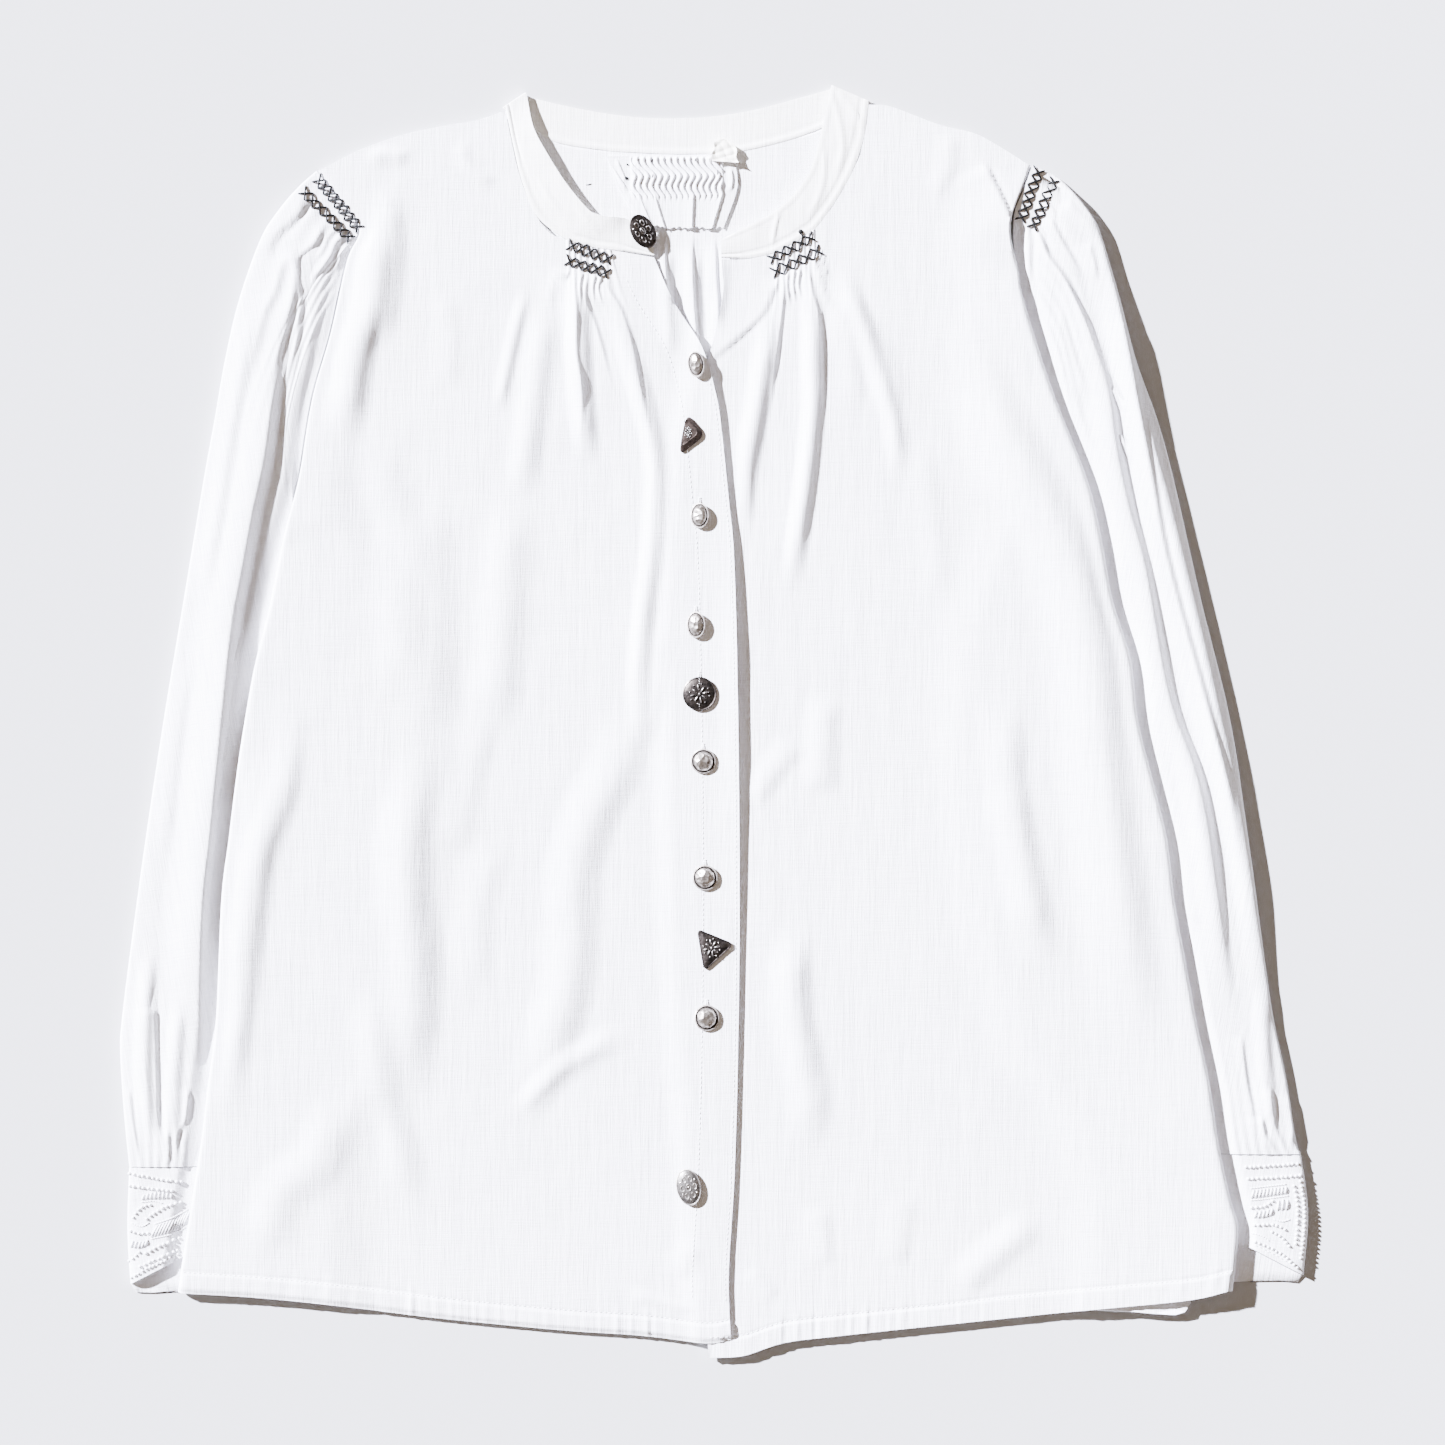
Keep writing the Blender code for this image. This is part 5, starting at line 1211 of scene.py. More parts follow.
def linen(name, turn=0.0, light=(0.915, 0.915, 0.935), dark=(0.78, 0.78, 0.81), slub=1.0):
    """White slubby plain weave: its threads run along the piece, turned by its grain. The dark colour is
    partly the slubs' own tone and partly painted shade, laid where the slub bumps are low.
    """
    cloth = Nodes(name)
    warp = cloth.noise(cloth.mapped((1500, 70, 200), turn), detail=3.0, roughness=0.6)
    weft = cloth.noise(cloth.mapped((60, 1300, 200), turn), detail=2.0, roughness=0.55)
    streaks = cloth.noise(cloth.mapped((420, 16, 60), turn), detail=3.0, roughness=0.65)
    along = cloth.bands(cloth.mapped((640, 640, 1), turn), "X")
    across = cloth.bands(cloth.mapped((600, 600, 1), turn), "Y")
    weave = cloth.math("MULTIPLY", along, across)
    cloud = cloth.noise(cloth.mapped((14, 9, 14), turn), detail=3.0)
    fine = cloth.math("ADD", cloth.math("MULTIPLY", warp, 0.62), cloth.math("MULTIPLY", weft, 0.38))
    threads = cloth.math("ADD", cloth.math("MULTIPLY", fine, 0.72), cloth.math("MULTIPLY", streaks, 0.28))
    # Painted shade, partly slub tone: the dark stop falls where the thread noise, and so the bump, is low.
    slub_tone_and_shade = cloth.ramp(threads, [(0.38, dark), (0.54, light), (1.0, tuple(min(1.0, c * 1.03) for c in light))])
    shade = cloth.ramp(cloud, [(0.3, (0.955, 0.955, 0.975)), (0.7, (1.0, 1.0, 1.0))])
    colour = cloth.mix(1.0, slub_tone_and_shade, shade, "MULTIPLY")
    broad = cloth.bump(streaks, 0.0007 * slub, 0.5)
    slubs = cloth.bump(fine, 0.0006 * slub, 0.8, broad)
    normal = cloth.bump(weave, 0.00012 * slub, 0.6, slubs)
    return cloth.finish(colour, None, normal, Roughness=0.86, Sheen_Weight=0.12, Sheen_Roughness=0.45,
                        Specular_IOR_Level=0.25)


def thread_look(name, light, dark, sheen, gloss):
    """Twisted thread: fine bumps along it, a little paler where it catches the light."""
    thread = Nodes(name)
    twist = thread.noise(thread.mapped((2600, 2600, 2600)), detail=2.0)
    colour = thread.ramp(twist, [(0.35, dark), (0.65, light)])
    normal = thread.bump(twist, 0.0002, 0.7)
    return thread.finish(colour, None, normal, Roughness=0.62, Sheen_Weight=sheen, Specular_IOR_Level=gloss)


def aged_metal(name, bright, dark, rough, beaten=0.0):
    """Silvery metal with dark low places and worn, brighter relief; a beaten one has small flats."""
    metal = Nodes(name)
    grain = metal.noise(metal.mapped((900, 900, 900)), detail=4.0, roughness=0.6)
    speck = metal.noise(metal.mapped((330, 330, 330)), detail=3.0)
    wear = metal.math("ADD", metal.math("MULTIPLY", grain, 0.4), metal.math("MULTIPLY", speck, 0.6))
    colour = metal.ramp(wear, [(0.42, dark), (0.58, bright)])
    gloss = metal.ramp(speck, [(0.3, (rough + 0.16,) * 3), (0.7, (rough - 0.08,) * 3)])
    normal = metal.bump(grain, 0.00012, 0.7)
    if beaten:
        normal = metal.bump(metal.cells(metal.mapped((330, 330, 330))), beaten, 1.0, normal)
    return metal.finish(colour, gloss, normal, Metallic=1.0)


def rides(piece):
    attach(piece, "root")


def floor_and_light():
    """A pale floor, one soft light low from the upper left and pale air all round."""
    bpy.ops.mesh.primitive_plane_add(size=7.0, location=(0, 0, -0.0002))
    floor = bpy.context.object
    floor.name = "floor"
    ground = Nodes("pale_floor")
    speck = ground.noise(ground.mapped((300, 300, 300)), detail=2.0)
    colour = ground.ramp(speck, [(0.2, (0.445, 0.447, 0.452)), (0.8, (0.455, 0.457, 0.462))])
    floor.data.materials.append(ground.finish(colour, Roughness=0.95, Specular_IOR_Level=0.1))
    sun = bpy.data.lights.new("window_light", "SUN")
    sun.energy = 68.0
    sun.angle = math.radians(1.6)
    sun.color = (0.845, 0.86, 1.0)
    lamp = bpy.data.objects.new("window_light", sun)
    lamp.rotation_euler = (math.radians(-28), math.radians(-58), 0.0)
    bpy.context.scene.collection.objects.link(lamp)
    world = bpy.data.worlds.new("pale_air")
    world.use_nodes = True
    world.node_tree.nodes["Background"].inputs["Color"].default_value = (1.0, 0.80, 0.63, 1.0)
    world.node_tree.nodes["Background"].inputs["Strength"].default_value = 0.44
    bpy.context.scene.world = world


# The view: straight down, its middle and width in the tables' millimetres.
VIEW_MIDDLE = (3.6, 0.3)
VIEW_WIDTH = 794.75
CAMERA_HEIGHT = 2.4


def camera():
    view = bpy.data.cameras.new("view")
    view.sensor_width = 36.0
    view.sensor_height = 36.0
    view.lens = 36.0 * (CAMERA_HEIGHT - 0.004) / (VIEW_WIDTH * MM)
    view.clip_end = 10.0
    made = bpy.data.objects.new("view", view)
    made.location = (VIEW_MIDDLE[0] * MM + PLACE[0], VIEW_MIDDLE[1] * MM + PLACE[1], CAMERA_HEIGHT)
    bpy.context.scene.collection.objects.link(made)
    bpy.context.scene.camera = made


class Cloth:
    """Everything already laid, asked for its height from above, in the tables' millimetres."""

    def __init__(self, grids):
        points, faces = [], []
        for grid in grids:
            rows, columns = grid.shape[:2]
            i, j = np.meshgrid(np.arange(rows - 1), np.arange(columns - 1), indexing="ij")
            corner = (i * columns + j + len(points)).reshape(-1)
            faces += np.stack([corner, corner + columns, corner + columns + 1, corner + 1], axis=1).tolist()
            points += grid.reshape(-1, 3).tolist()
        self.tree = BVHTree.FromPolygons(points, faces)

    def height(self, x, y):
        hit = self.tree.ray_cast(Vector((x, y, 60.0)), Vector((0.0, 0.0, -1.0)))[0]
        return hit.z if hit else 0.0

    def on(self, line, near=0.0):
        """A plan line laid on the cloth, stretched tight over its hollows."""
        line = np.asarray(line, float)
        spread = [(0.0, 0.0)] + [(dx, dy) for dx in (-near, near) for dy in (-near, near)] * (near > 0)
        z = np.array([max(self.height(x + dx, y + dy) for dx, dy in spread) for x, y in line])
        along = np.linspace(0, 1, len(line))
        return np.column_stack([line, np.maximum(z, z[0] + (z[-1] - z[0]) * along)])


class Threads:
    """Many stitches and knots gathered into one mesh."""

    def __init__(self, cloth):
        self.cloth = cloth
        self.points = []
        self.faces = []

    def wrap(self, start, steps, sides):
        """Faces that join each ring of points to the next one."""
        for n in range(steps):
            low, high = start + n * sides, start + (n + 1) * sides
            for k in range(sides):
                m = (k + 1) % sides
                self.faces.append([low + k, low + m, high + m, high + k])

    def tube(self, line, thick, sides=5):
        """A round thread through the points of a line, its two ends sunk a little."""
        line = np.asarray(line, float)
        start = len(self.points)
        along = np.gradient(line, axis=0)
        along /= np.linalg.norm(along, axis=1, keepdims=True)
        side = np.cross(along, [0.0, 0.0, 1.0])
        side /= np.linalg.norm(side, axis=1, keepdims=True)
        up = np.cross(side, along)
        for n, point in enumerate(line):
            size = thick / 2 * (0.6 if n in (0, len(line) - 1) else 1.0)
            for k in range(sides):
                a = 2 * math.pi * k / sides
                self.points.append(point + size * (math.cos(a) * side[n] + math.sin(a) * up[n]))
        self.wrap(start, len(line) - 1, sides)
        last = start + (len(line) - 1) * sides
        self.faces.append([start + k for k in range(sides)][::-1])
        self.faces.append([last + k for k in range(sides)])

    def stitch(self, a, b, thick, rise=0.25, parts=4, sides=5, near=0.0):
        """One stitch between two places in plan, standing a little proud between them."""
        share = np.linspace(0, 1, parts + 1)[:, None]
        line = self.cloth.on(np.asarray(a) * (1 - share) + np.asarray(b) * share, near)
        line[:, 2] += thick * 0.15 + rise * np.sin(share[:, 0] * math.pi)
        self.tube(line, thick, sides)

    def knot(self, x, y, size, high):
        """A small wound knot: a low dome with six sides."""
        start, sides = len(self.points), 6
        z = self.cloth.height(x, y)
        for radius, rise in ((0.75, -0.25), (1.0, 0.35), (0.62, 0.85)):
            for k in range(sides):
                a = 2 * math.pi * (k + radius) / sides
                self.points.append(np.array([x + size * radius * math.cos(a), y + size * radius * math.sin(a),
                                             z + high * rise]))
        self.points.append(np.array([x, y, z + high]))
        self.wrap(start, 2, sides)
        top = start + 2 * sides
        for k in range(sides):
            self.faces.append([top + k, top + (k + 1) % sides, top + sides])
        self.faces.append([start + k for k in range(sides)][::-1])

    def run(self, line, length, gap, thick, rise=0.12):
        """A line of even stitches along a plan curve."""
        line = np.asarray(line, float)
        reach = lengths_along(line)
        for s in np.arange(0, reach[-1] - length, length + gap):
            ends = [np.array([np.interp(d, reach, line[:, 0]), np.interp(d, reach, line[:, 1])])
                    for d in (s, s + length)]
            self.stitch(*ends, thick, rise, parts=2, sides=4)

    def knots_along(self, line, step, size, high, dice):
        """Knots at an uneven step along a plan curve."""
        line = curve(line) if len(line) > 2 else np.asarray(line, float)
        reach = lengths_along(line)
        for s in np.arange(0, reach[-1] + 0.1, step):
            s += dice.uniform(-0.12, 0.12) * step
            x, y = np.interp(s, reach, line[:, 0]), np.interp(s, reach, line[:, 1])
            self.knot(x, y + dice.uniform(-0.2, 0.2), size * dice.uniform(0.88, 1.1), high)

    def build(self, name, look):
        mesh = bpy.data.meshes.new(name)
        mesh.from_pydata((np.array(self.points) * MM + PLACE).tolist(), [], self.faces)
        turn_outwards(mesh)
        mesh.shade_smooth()
        piece = bpy.data.objects.new(name, mesh)
        bpy.context.scene.collection.objects.link(piece)
        piece.data.materials.append(look)
        rides(piece)


# Rows of crossed black stitches: first end, last end, how many crosses, how tall.
SMOCKED_ROWS = [
    ((-81.4, 263.2), (-57.4, 254.8), 5, 6.4),
    ((-83.1, 254.6), (-58.6, 246.9), 5, 6.2),
    ((29.1, 254.6), (53.7, 268.0), 5, 6.2),
    ((30.8, 247.4), (58.1, 260.2), 5, 6.2),
    ((-219.5, 300.0), (-196.0, 271.6), 8, 6.2),
    ((-227.9, 293.2), (-200.2, 265.6), 7, 6.2),
    ((178.0, 305.2), (167.2, 275.8), 6, 6.2),
    ((186.2, 299.6), (173.8, 271.6), 6, 6.2),
]


def smocking_stitches(cloth, look):
    """Open crosses of black thread along the gathered rows at the neck and the sleeve heads."""
    work = Threads(cloth)
    dice = np.random.default_rng(71)
    for first, last, crosses, tall in SMOCKED_ROWS:
        first, last = np.array(first), np.array(last)
        along = (last - first) / crosses
        across = np.array([-along[1], along[0]]) / np.linalg.norm(along) * tall / 2
        wander = dice.uniform(-0.45, 0.45, (2, crosses + 1, 2))
        low = [first + along * k - across + wander[0, k] for k in range(crosses + 1)]
        high = [first + along * k + across + wander[1, k] for k in range(crosses + 1)]
        for k in range(crosses):
            work.stitch(low[k], high[k + 1], 1.15, 0.3, 8, 5, 0.7)
            work.stitch(high[k], low[k + 1], 1.15, 0.5, 8, 5, 0.7)
    # The knotted end of the thread beside the neckband.
    work.knot(46.6, 270.1, 1.5, 1.4)
    work.stitch((46.0, 270.0), (48.6, 266.6), 0.9)
    # Ends that come through to the strip inside the neck.
    for spot, size in (((-48.8, 307.4), 0.6), ((-49.3, 299.8), 1.1)):
        work.knot(*spot, size, 0.8)
    for a, b in (((-35.4, 308.6), (-34.6, 310.4)), ((-35.2, 300.0), (-34.6, 302.0)),
                 ((0.8, 301.6), (0.9, 304.4)), ((-11.6, 309.0), (-11.2, 310.6))):
        work.stitch(a, b, 0.5)
    work.stitch((-71.6, 296.2), (-68.6, 297.0), 0.5)
    work.build("smocking_stitches", look)


def seam_stitches(cloth, look):
    """White machine stitches at the hems and along the button facing."""
    work = Threads(cloth)
    for hem in (HEM_RIGHT, HEM_LEFT):
        line = curve(hem) + np.array([0.0, HEM_DEPTH + 0.4])
        work.run(line, 1.9, 0.9, 0.42)
    y = np.linspace(244, -318, 300)
    fold = np.stack([x_at(PLACKET_CURVE["right"], y) - FACING_WIDTH, y], axis=1)
    work.run(fold, 1.9, 0.9, 0.42)
    y = np.linspace(190, -318, 300)
    work.run(np.stack([x_at(PLACKET_CURVE["right"], y) - 1.8, y], axis=1), 1.9, 0.9, 0.36)
    work.build("seam_stitches", look)


def buttonholes(cloth, look):
    """The worked end of each buttonhole, which shows above its button."""
    work = Threads(cloth)
    for x, y, _, long, *_ in BUTTONS[3:8] + BUTTONS[9:10]:
        top = y + long / 2 + 2.6
        for shift in (-0.55, 0.55):
            work.stitch((x + shift, top - 3.4), (x + shift * 0.5, top), 0.62, 0.25)
        work.stitch((x - 0.9, top + 0.1), (x + 0.9, top + 0.1), 0.6, 0.15)
    work.build("buttonholes", look)


# Whitework on the cuffs: rows of knots, as size and points from the outer edge inwards.
KNOTS_RIGHT = [
    (0.85, [(-322.6, -247.6), (-309.6, -250.2), (-292.0, -252.6)]),
    (0.85, [(-322.6, -254.4), (-306.8, -256.4), (-297.8, -257.4)]),
    (0.80, [(-320.4, -271.6), (-317.3, -267.3), (-313.1, -265.0), (-308.6, -265.2)]),
    (0.85, [(-313.1, -272.4), (-307.5, -268.4), (-302.6, -265.8), (-294.3, -263.4)]),
    (0.80, [(-322.0, -279.4), (-317.0, -280.6), (-311.4, -280.2)]),
    (0.90, [(-313.4, -291.2), (-305.4, -287.2), (-299.9, -285.0), (-294.6, -283.2)]),
    (0.80, [(-322.8, -296.0), (-319.6, -293.4), (-317.0, -290.8)]),
    (0.90, [(-316.6, -298.8), (-303.3, -292.9), (-294.6, -289.6)]),
    (0.75, [(-321.4, -304.6), (-313.0, -300.0), (-304.0, -295.8), (-295.0, -291.8)]),
]
KNOTS_LEFT = [
    (0.85, [(291.0, -244.2), (306.0, -243.2), (321.6, -242.2)]),
    (0.85, [(292.6, -250.6), (306.0, -249.8), (322.4, -248.6)]),
    (0.85, [(317.6, -254.6), (319.4, -264.0), (319.4, -276.0), (318.4, -288.0)]),
    (0.80, [(321.2, -252.0), (323.4, -266.0), (323.0, -281.0), (321.2, -295.0)]),
    (0.80, [(294.4, -266.4), (300.6, -265.6), (306.0, -262.8)]),
    (0.80, [(296.0, -276.0), (302.0, -275.4), (309.0, -276.4), (314.6, -279.4)]),
    (0.80, [(305.6, -279.6), (311.0, -283.0), (315.0, -287.6)]),
    (0.80, [(296.4, -285.4), (304.6, -288.6), (313.0, -293.6), (319.4, -299.4)]),
]
# Bars of satin stitch between an upper and a lower line: lean, upper points, lower points.
SATIN_RIGHT = [
    (2.0, [(-308.6, -276.0), (-298.5, -272.4), (-289.4, -267.4)],
     [(-310.4, -282.8), (-299.6, -280.2), (-291.6, -276.4)]),
    (1.2, [(-316.0, -259.6), (-308.2, -257.6), (-299.0, -258.8)],
     [(-316.0, -262.2), (-307.0, -261.8), (-298.0, -261.4)]),
    (1.2, [(-322.0, -284.4), (-316.6, -285.0), (-312.0, -283.6)],
     [(-322.0, -288.2), (-316.6, -288.8), (-312.4, -287.0)]),
]
SATIN_LEFT = [
    (1.6, [(294.0, -256.8), (302.0, -255.8), (313.6, -254.6)],
     [(294.0, -261.4), (302.0, -260.6), (314.6, -258.8)]),
    (1.2, [(295.4, -268.4), (301.0, -267.8), (306.4, -266.4)],
     [(295.4, -272.2), (301.0, -272.0), (306.0, -270.6)]),
    (1.2, [(307.6, -262.8), (311.4, -261.6), (315.0, -262.4)],
     [(308.0, -268.0), (311.6, -268.0), (315.2, -267.6)]),
]
# Stems and the edges of leaves, in rope stitch.
STEMS_RIGHT = [
    [(-308.8, -275.4), (-298.5, -271.8), (-289.2, -266.8)],
    [(-310.8, -283.6), (-299.6, -281.0), (-291.2, -277.2)],
    [(-316.2, -263.4), (-308.6, -262.8), (-303.0, -264.6)],
    [(-321.6, -274.6), (-316.0, -276.8), (-311.6, -274.6)],
]
STEMS_LEFT = [
    [(293.6, -255.8), (302.0, -254.8), (314.2, -253.4)],
    [(293.6, -262.4), (302.0, -261.6), (315.2, -259.8)],
    [(294.4, -280.6), (300.0, -281.8), (305.0, -285.4)],
    [(306.4, -272.6), (311.0, -274.0), (315.6, -272.8)],
]


def cuff_whitework(side, cloth, look):
    """Raised white embroidery over a cuff: knots, satin bars and rope-stitched stems."""
    right = side == "right"
    work = Threads(cloth)
    dice = np.random.default_rng(81 if right else 82)
    for size, line in KNOTS_RIGHT if right else KNOTS_LEFT:
        work.knots_along(line, size * 3.1, size * 1.15, size * 1.7, dice)
    for lean, upper, lower in SATIN_RIGHT if right else SATIN_LEFT:
        high, low = curve(upper), curve(lower)
        bars = int(np.linalg.norm(high[-1] - high[0]) / 1.9)
        for share in (np.arange(bars) + 0.5) / bars:
            a, b = at_share(high, share), at_share(low, share)
            work.stitch(a + np.array([lean * 0.5, 0]), b - np.array([lean * 0.5, 0]), 1.15, 0.8, parts=3)
    for line in STEMS_RIGHT if right else STEMS_LEFT:
        work.run(curve(line), 2.0, -0.5, 0.8, 0.2)
    mouth = curve(CUFF_MOUTH[side])
    work.run(mouth[np.abs(mouth[:, 0]) > 294.0] + np.array([0.0, 2.0]), 1.9, 0.7, 0.6, 0.2)
    work.build("cuff_whitework_" + side, look)


def only(piece):
    """Makes a piece the only one selected, and the active one."""
    bpy.ops.object.select_all(action="DESELECT")
    piece.select_set(True)
    bpy.context.view_layer.objects.active = piece


def top_face(piece):
    """Selects the flat top of a piece, in edit mode."""
    only(piece)
    bpy.ops.object.mode_set(mode="EDIT")
    bpy.ops.mesh.select_mode(type="FACE")
    bpy.ops.mesh.select_all(action="DESELECT")
    made = bmesh.from_edit_mesh(piece.data)
    max(made.faces, key=lambda face: face.calc_center_median().z).select_set(True)
    bmesh.update_edit_mesh(piece.data)


# A button's plain edge, in half widths.
RIM_DEPTH = 0.08
# Steps from a button's rim to its middle: how much narrower, and how much higher, as shares.
DOME_STEPS = [(0.06, 0.05), (0.03, 0.0), (0.05, -0.10), (0.06, 0.0), (0.10, 0.24), (0.18, 0.22), (0.28, 0.14),
              (0.45, 0.05)]
PLATE_STEPS = [(0.05, 0.05), (0.05, -0.03), (0.14, 0.10), (0.25, 0.08), (0.45, 0.03)]
TRIANGLE_STEPS = [(0.05, 0.07), (0.05, -0.03), (0.14, 0.16), (0.30, 0.10), (0.50, 0.02)]
RIDGED_STEPS = [(0.05, 0.05), (0.20, 0.34), (0.05, 0.04), (0.05, -0.06), (0.35, 0.03), (0.50, 0.0)]
# Numbers of the buttons with a relief, from the neck down.
PICK_BUTTON = 3
ROUND_BUTTON = 6
TRIANGLE_BUTTON = 9
DROP_BUTTON = 11
ORNATE_BUTTONS = (1, PICK_BUTTON, ROUND_BUTTON, TRIANGLE_BUTTON, DROP_BUTTON)
# The three corners of each three-cornered button, how its steps lean sideways, and its rounding.
CORNERS = {
    PICK_BUTTON: ([(-3.0, 11.6), (-7.6, -12.4), (7.4, -0.6)], (-0.36, 0.26), 0.56),
    TRIANGLE_BUTTON: ([(-9.6, 10.2), (-5.6, -13.6), (11.0, 1.8)], (0.0, 0.0), 0.34),
}


def bearing(x, y):
    """The direction of a place from the middle, from 0 to a full turn."""
    return math.atan2(y, x) % (2 * math.pi)


def button_plate(corners, lean, rounding, steps, high):
    """A button of half width 1: a rim, a groove and a domed middle, in steps."""
    bpy.ops.mesh.primitive_cylinder_add(
        vertices=3 if corners else 36, radius=1.0, depth=RIM_DEPTH, location=(0, 0, RIM_DEPTH / 2))
    plate = bpy.context.object
    only(plate)
    bpy.ops.object.transform_apply(location=True, rotation=True, scale=True)
    middle = Vector((0.0, 0.0, 0.0))
    if corners:
        turned = sorted(plate.data.vertices, key=lambda corner: bearing(corner.co.x, corner.co.y))
        around = sorted(corners, key=lambda corner: bearing(*corner))
        for n, corner in enumerate(turned):
            corner.co.x, corner.co.y = around[n // 2]
        middle = Vector((sum(c[0] for c in corners) / 3, sum(c[1] for c in corners) / 3, 0.0))
        bpy.ops.object.mode_set(mode="EDIT")
        bpy.ops.mesh.select_mode(type="EDGE")
        bpy.ops.mesh.select_all(action="DESELECT")
        made = bmesh.from_edit_mesh(plate.data)
        for edge in made.edges:
            foot, head = sorted(corner.co.z for corner in edge.verts)
            edge.select_set(head - foot > 0.04)
        bmesh.update_edit_mesh(plate.data)
        bpy.ops.mesh.bevel(offset=rounding, segments=5, affect="EDGES")
        bpy.ops.object.mode_set(mode="OBJECT")
    top_face(plate)
    for inward, upward in steps:
        aside = (lean[0] * max(upward, 0.0), lean[1] * max(upward, 0.0))
        bpy.ops.mesh.extrude_region_move(TRANSFORM_OT_translate={"value": (*aside, upward * high)})
        middle += Vector((*aside, 0.0))
        bpy.ops.transform.resize(value=(1 - inward, 1 - inward, 1.0), center_override=middle)
    bpy.ops.object.mode_set(mode="OBJECT")
    return plate


def grown(kind, place, size, turn=0.0):
    """One bead, petal or curl of a button's relief."""
    if kind == "curl":
        bpy.ops.mesh.primitive_torus_add(
            major_radius=size[0], minor_radius=size[1], major_segments=12, minor_segments=5, location=place)
    else:
        bpy.ops.mesh.primitive_uv_sphere_add(segments=8, ring_count=5, radius=1.0, location=place)
        bpy.context.object.scale = size
    bpy.context.object.rotation_euler = (0.0, 0.0, turn)
    return bpy.context.object


def flower_relief(spread, level):
    """Petals about a small eye, with a bead between each two of them."""
    parts = [grown("bead", (0, 0, level), (0.09, 0.09, 0.10))]
    for k in range(8):
        turn = 2 * math.pi * k / 8 + 0.2
        reach = spread * (0.34 if k % 2 else 0.40)
        place = (reach * math.cos(turn), reach * math.sin(turn), level)
        parts.append(grown("petal", place, (0.19 * spread + 0.02, 0.06, 0.08), turn))
        between = turn + math.pi / 8
        bead = (spread * 0.62 * math.cos(between), spread * 0.62 * math.sin(between), level - 0.02)
        parts.append(grown("bead", bead, (0.05, 0.05, 0.06)))
    return parts


def curled_relief(level):
    """Small curls and leaves over the whole face."""
    parts = []
    for k in range(6):
        turn = 2 * math.pi * k / 6
        parts.append(grown("curl", (0.50 * math.cos(turn), 0.50 * math.sin(turn), level), (0.14, 0.045)))
        other = turn + math.pi / 6
        parts.append(grown("petal", (0.66 * math.cos(other), 0.66 * math.sin(other), level - 0.06),
                           (0.13, 0.06, 0.07), other + 0.7))
    parts.append(grown("curl", (0, 0, level + 0.04), (0.17, 0.05)))
    parts.append(grown("bead", (0, 0, level + 0.04), (0.09, 0.09, 0.08)))
    return parts


def end_beads(level):
    """A short upright row of beads at the top and at the foot of the large round button."""
    return [grown("bead", (0.0, sign * at, level - 0.05 * n), (0.07, 0.06, 0.07))
            for sign in (-1, 1) for n, at in enumerate((0.62, 0.74, 0.86))]


def metal_button(number, cloth, looks):
    """One button with its shank, tilted and turned as it lies."""
    x, y, wide, long, turn, tilt, height, corners = BUTTONS[number - 1]
    ornate = number in ORNATE_BUTTONS
    unit = height * 0.85 / (wide / 2)
    steps = DOME_STEPS
    if number == PICK_BUTTON:
        steps = RIDGED_STEPS
    elif corners:
        steps = TRIANGLE_STEPS
    elif ornate:
        steps = PLATE_STEPS
    total = RIM_DEPTH + sum(up for _, up in steps) * unit
    spots, lean, rounding = CORNERS.get(number, ([], (0.0, 0.0), 0.0))
    spots = [(across / (wide / 2), down / (long / 2)) for across, down in spots]
    body = button_plate(spots, lean, rounding, steps, unit)
    parts = []
    if number == PICK_BUTTON:
        parts = flower_relief(0.46, total)
        for part in parts:
            part.location += Vector((-0.32, 0.06, 0.0))
    elif number == TRIANGLE_BUTTON:
        parts = flower_relief(0.80, total)
        for part in parts:
            part.location += Vector((-0.15, -0.05, 0.0))
    elif number == ROUND_BUTTON:
        parts = flower_relief(0.95, total) + end_beads(total - 0.06)
    elif ornate:
        parts = curled_relief(total - 0.03)
    bpy.ops.mesh.primitive_cylinder_add(vertices=10, radius=0.14, depth=0.3, location=(0, 0, -0.10))
    parts.append(bpy.context.object)
    for part in parts:
        part.data.materials.append(looks["relief"])
    body.data.materials.append(looks["face"])
    body.data.materials.append(looks["groove"])
    body.data.materials.append(looks["rim"])
    for face in body.data.polygons:
        reach = math.hypot(face.center.x, face.center.y)
        if not corners and not ornate:
            face.material_index = 2 if reach > 0.90 else 1 if reach > 0.80 else 0
        elif not corners and reach > 0.93:
            face.material_index = 2
    bpy.ops.object.select_all(action="DESELECT")
    for part in parts:
        part.select_set(True)
    body.select_set(True)
    bpy.context.view_layer.objects.active = body
    bpy.ops.object.transform_apply(location=True, rotation=True, scale=True)
    bpy.ops.object.join()
    # From units of the half width to its own size, tilted by a slope, then turned and placed.
    slope = math.tan(math.radians(tilt))
    angle = math.radians(turn)
    back = abs(slope) * wide / 2 + 0.1
    seat = max(cloth.height(x + dx, y + dy) for dx in (-3, 0, 3) for dy in (-3, 0, 3)) + 0.05
    sized = Matrix.Diagonal((wide / 2, long / 2, wide / 2, 1.0))
    turned = Matrix.Rotation(angle, 4, "Z")
    tilted = Matrix.Identity(4)
    tilted[2][0] = slope
    placed = Matrix.Translation((x, y, seat + back))
    into_metres = Matrix.Translation(PLACE) @ Matrix.Scale(MM, 4)
    body.data.transform(into_metres @ placed @ tilted @ turned @ sized)
    turn_outwards(body.data)
    body.data.shade_smooth()
    body.data.set_sharp_from_angle(angle=math.radians(38))
    body.name = f"metal_button_{number:02d}"
    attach(body, "root")
    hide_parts(f"button_{number:02d}")


floor_and_light()
camera()

WHITE = linen("white_linen")
WHITE_RIGHT = linen("white_linen_sleeve_right", math.radians(-9))
WHITE_LEFT = linen("white_linen_sleeve_left", math.radians(9))
# The darker of the band's two colours is its slubs' own tone and their painted shade.
BAND = linen("band_linen", 0.0, (0.92, 0.91, 0.87), (0.80, 0.79, 0.755), 0.7)

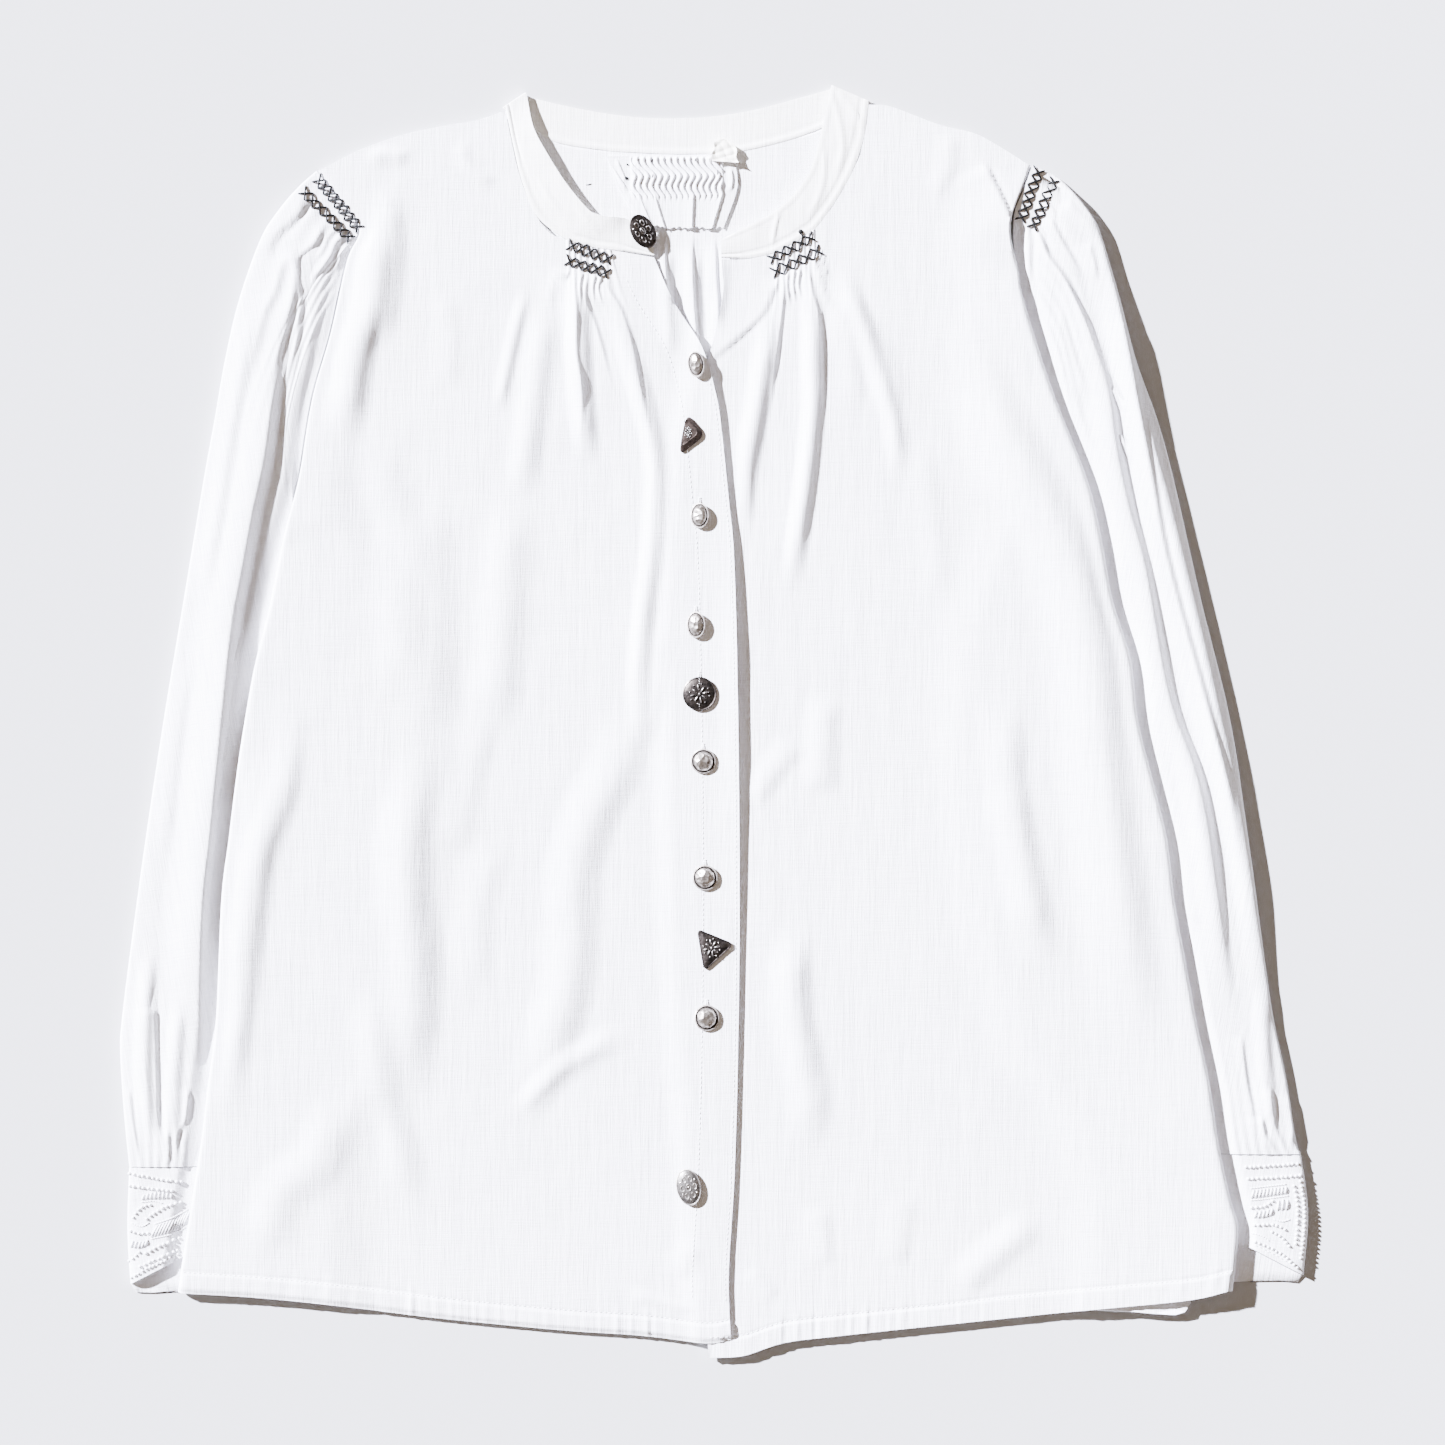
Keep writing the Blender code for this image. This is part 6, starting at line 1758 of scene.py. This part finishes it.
FACES = {}
FACES["back"] = back_cloth(WHITE)
for SIDE, LOOK in (("right", WHITE_RIGHT), ("left", WHITE_LEFT)):
    FACES["front_" + SIDE] = front_cloth(SIDE, WHITE)
    FACES["sleeve_" + SIDE] = sleeve_cloth(SIDE, LOOK)
    FACES["cuff_" + SIDE] = cuff_cloth(SIDE, LOOK)
FACES["neckband"] = neckband_cloth(BAND)
FACES["strip"] = strip_cloth(WHITE)
# The darker of the tape's two colours is its slubs' own tone and their painted shade.
FACES["label"] = label_cloth(linen("cream_tape", 0.0, (0.93, 0.91, 0.82), (0.82, 0.79, 0.70), 0.5))

CLOTH_LAID = Cloth(list(FACES.values()))
BLACK_THREAD = thread_look("black_thread", (0.006, 0.0065, 0.006), (0.0015, 0.0015, 0.0015), 0.0, 0.12)
WHITE_THREAD = thread_look("white_thread", (0.93, 0.93, 0.945), (0.78, 0.78, 0.80), 0.1, 0.35)
smocking_stitches(CLOTH_LAID, BLACK_THREAD)
seam_stitches(CLOTH_LAID, WHITE_THREAD)
buttonholes(CLOTH_LAID, WHITE_THREAD)
for SIDE in OUTWARD:
    cuff_whitework(SIDE, CLOTH_LAID, WHITE_THREAD)

PALE_LOOKS = {
    "face": aged_metal("silver_face", (0.46, 0.425, 0.385), (0.17, 0.148, 0.13), 0.34, 0.0007),
    "groove": aged_metal("silver_groove", (0.05, 0.043, 0.038), (0.016, 0.014, 0.012), 0.5),
    "rim": aged_metal("silver_rim", (0.62, 0.58, 0.54), (0.24, 0.21, 0.19), 0.58),
    "relief": aged_metal("silver_relief", (0.66, 0.63, 0.59), (0.18, 0.16, 0.14), 0.3),
}
DARK_LOOKS = {
    "face": aged_metal("dark_silver_face", (0.055, 0.047, 0.042), (0.014, 0.012, 0.011), 0.42),
    "groove": aged_metal("dark_silver_groove", (0.08, 0.07, 0.065), (0.03, 0.028, 0.025), 0.5),
    "rim": aged_metal("dark_silver_rim", (0.12, 0.105, 0.095), (0.03, 0.026, 0.022), 0.36),
    "relief": aged_metal("dark_silver_relief", (0.42, 0.40, 0.38), (0.07, 0.065, 0.06), 0.3),
}
# The pick-shaped button is of a browner metal, and the drop is dull silver.
BROWN_FACE = aged_metal("brown_silver_face", (0.075, 0.058, 0.05), (0.026, 0.02, 0.017), 0.5)
DULL_FACE = aged_metal("dull_silver_face", (0.26, 0.245, 0.23), (0.08, 0.075, 0.07), 0.38)
LOOKS = {
    1: DARK_LOOKS,
    PICK_BUTTON: dict(DARK_LOOKS, face=BROWN_FACE),
    ROUND_BUTTON: DARK_LOOKS,
    TRIANGLE_BUTTON: DARK_LOOKS,
    DROP_BUTTON: dict(PALE_LOOKS, face=DULL_FACE),
}
for number in range(1, 12):
    metal_button(number, CLOTH_LAID, LOOKS.get(number, PALE_LOOKS))
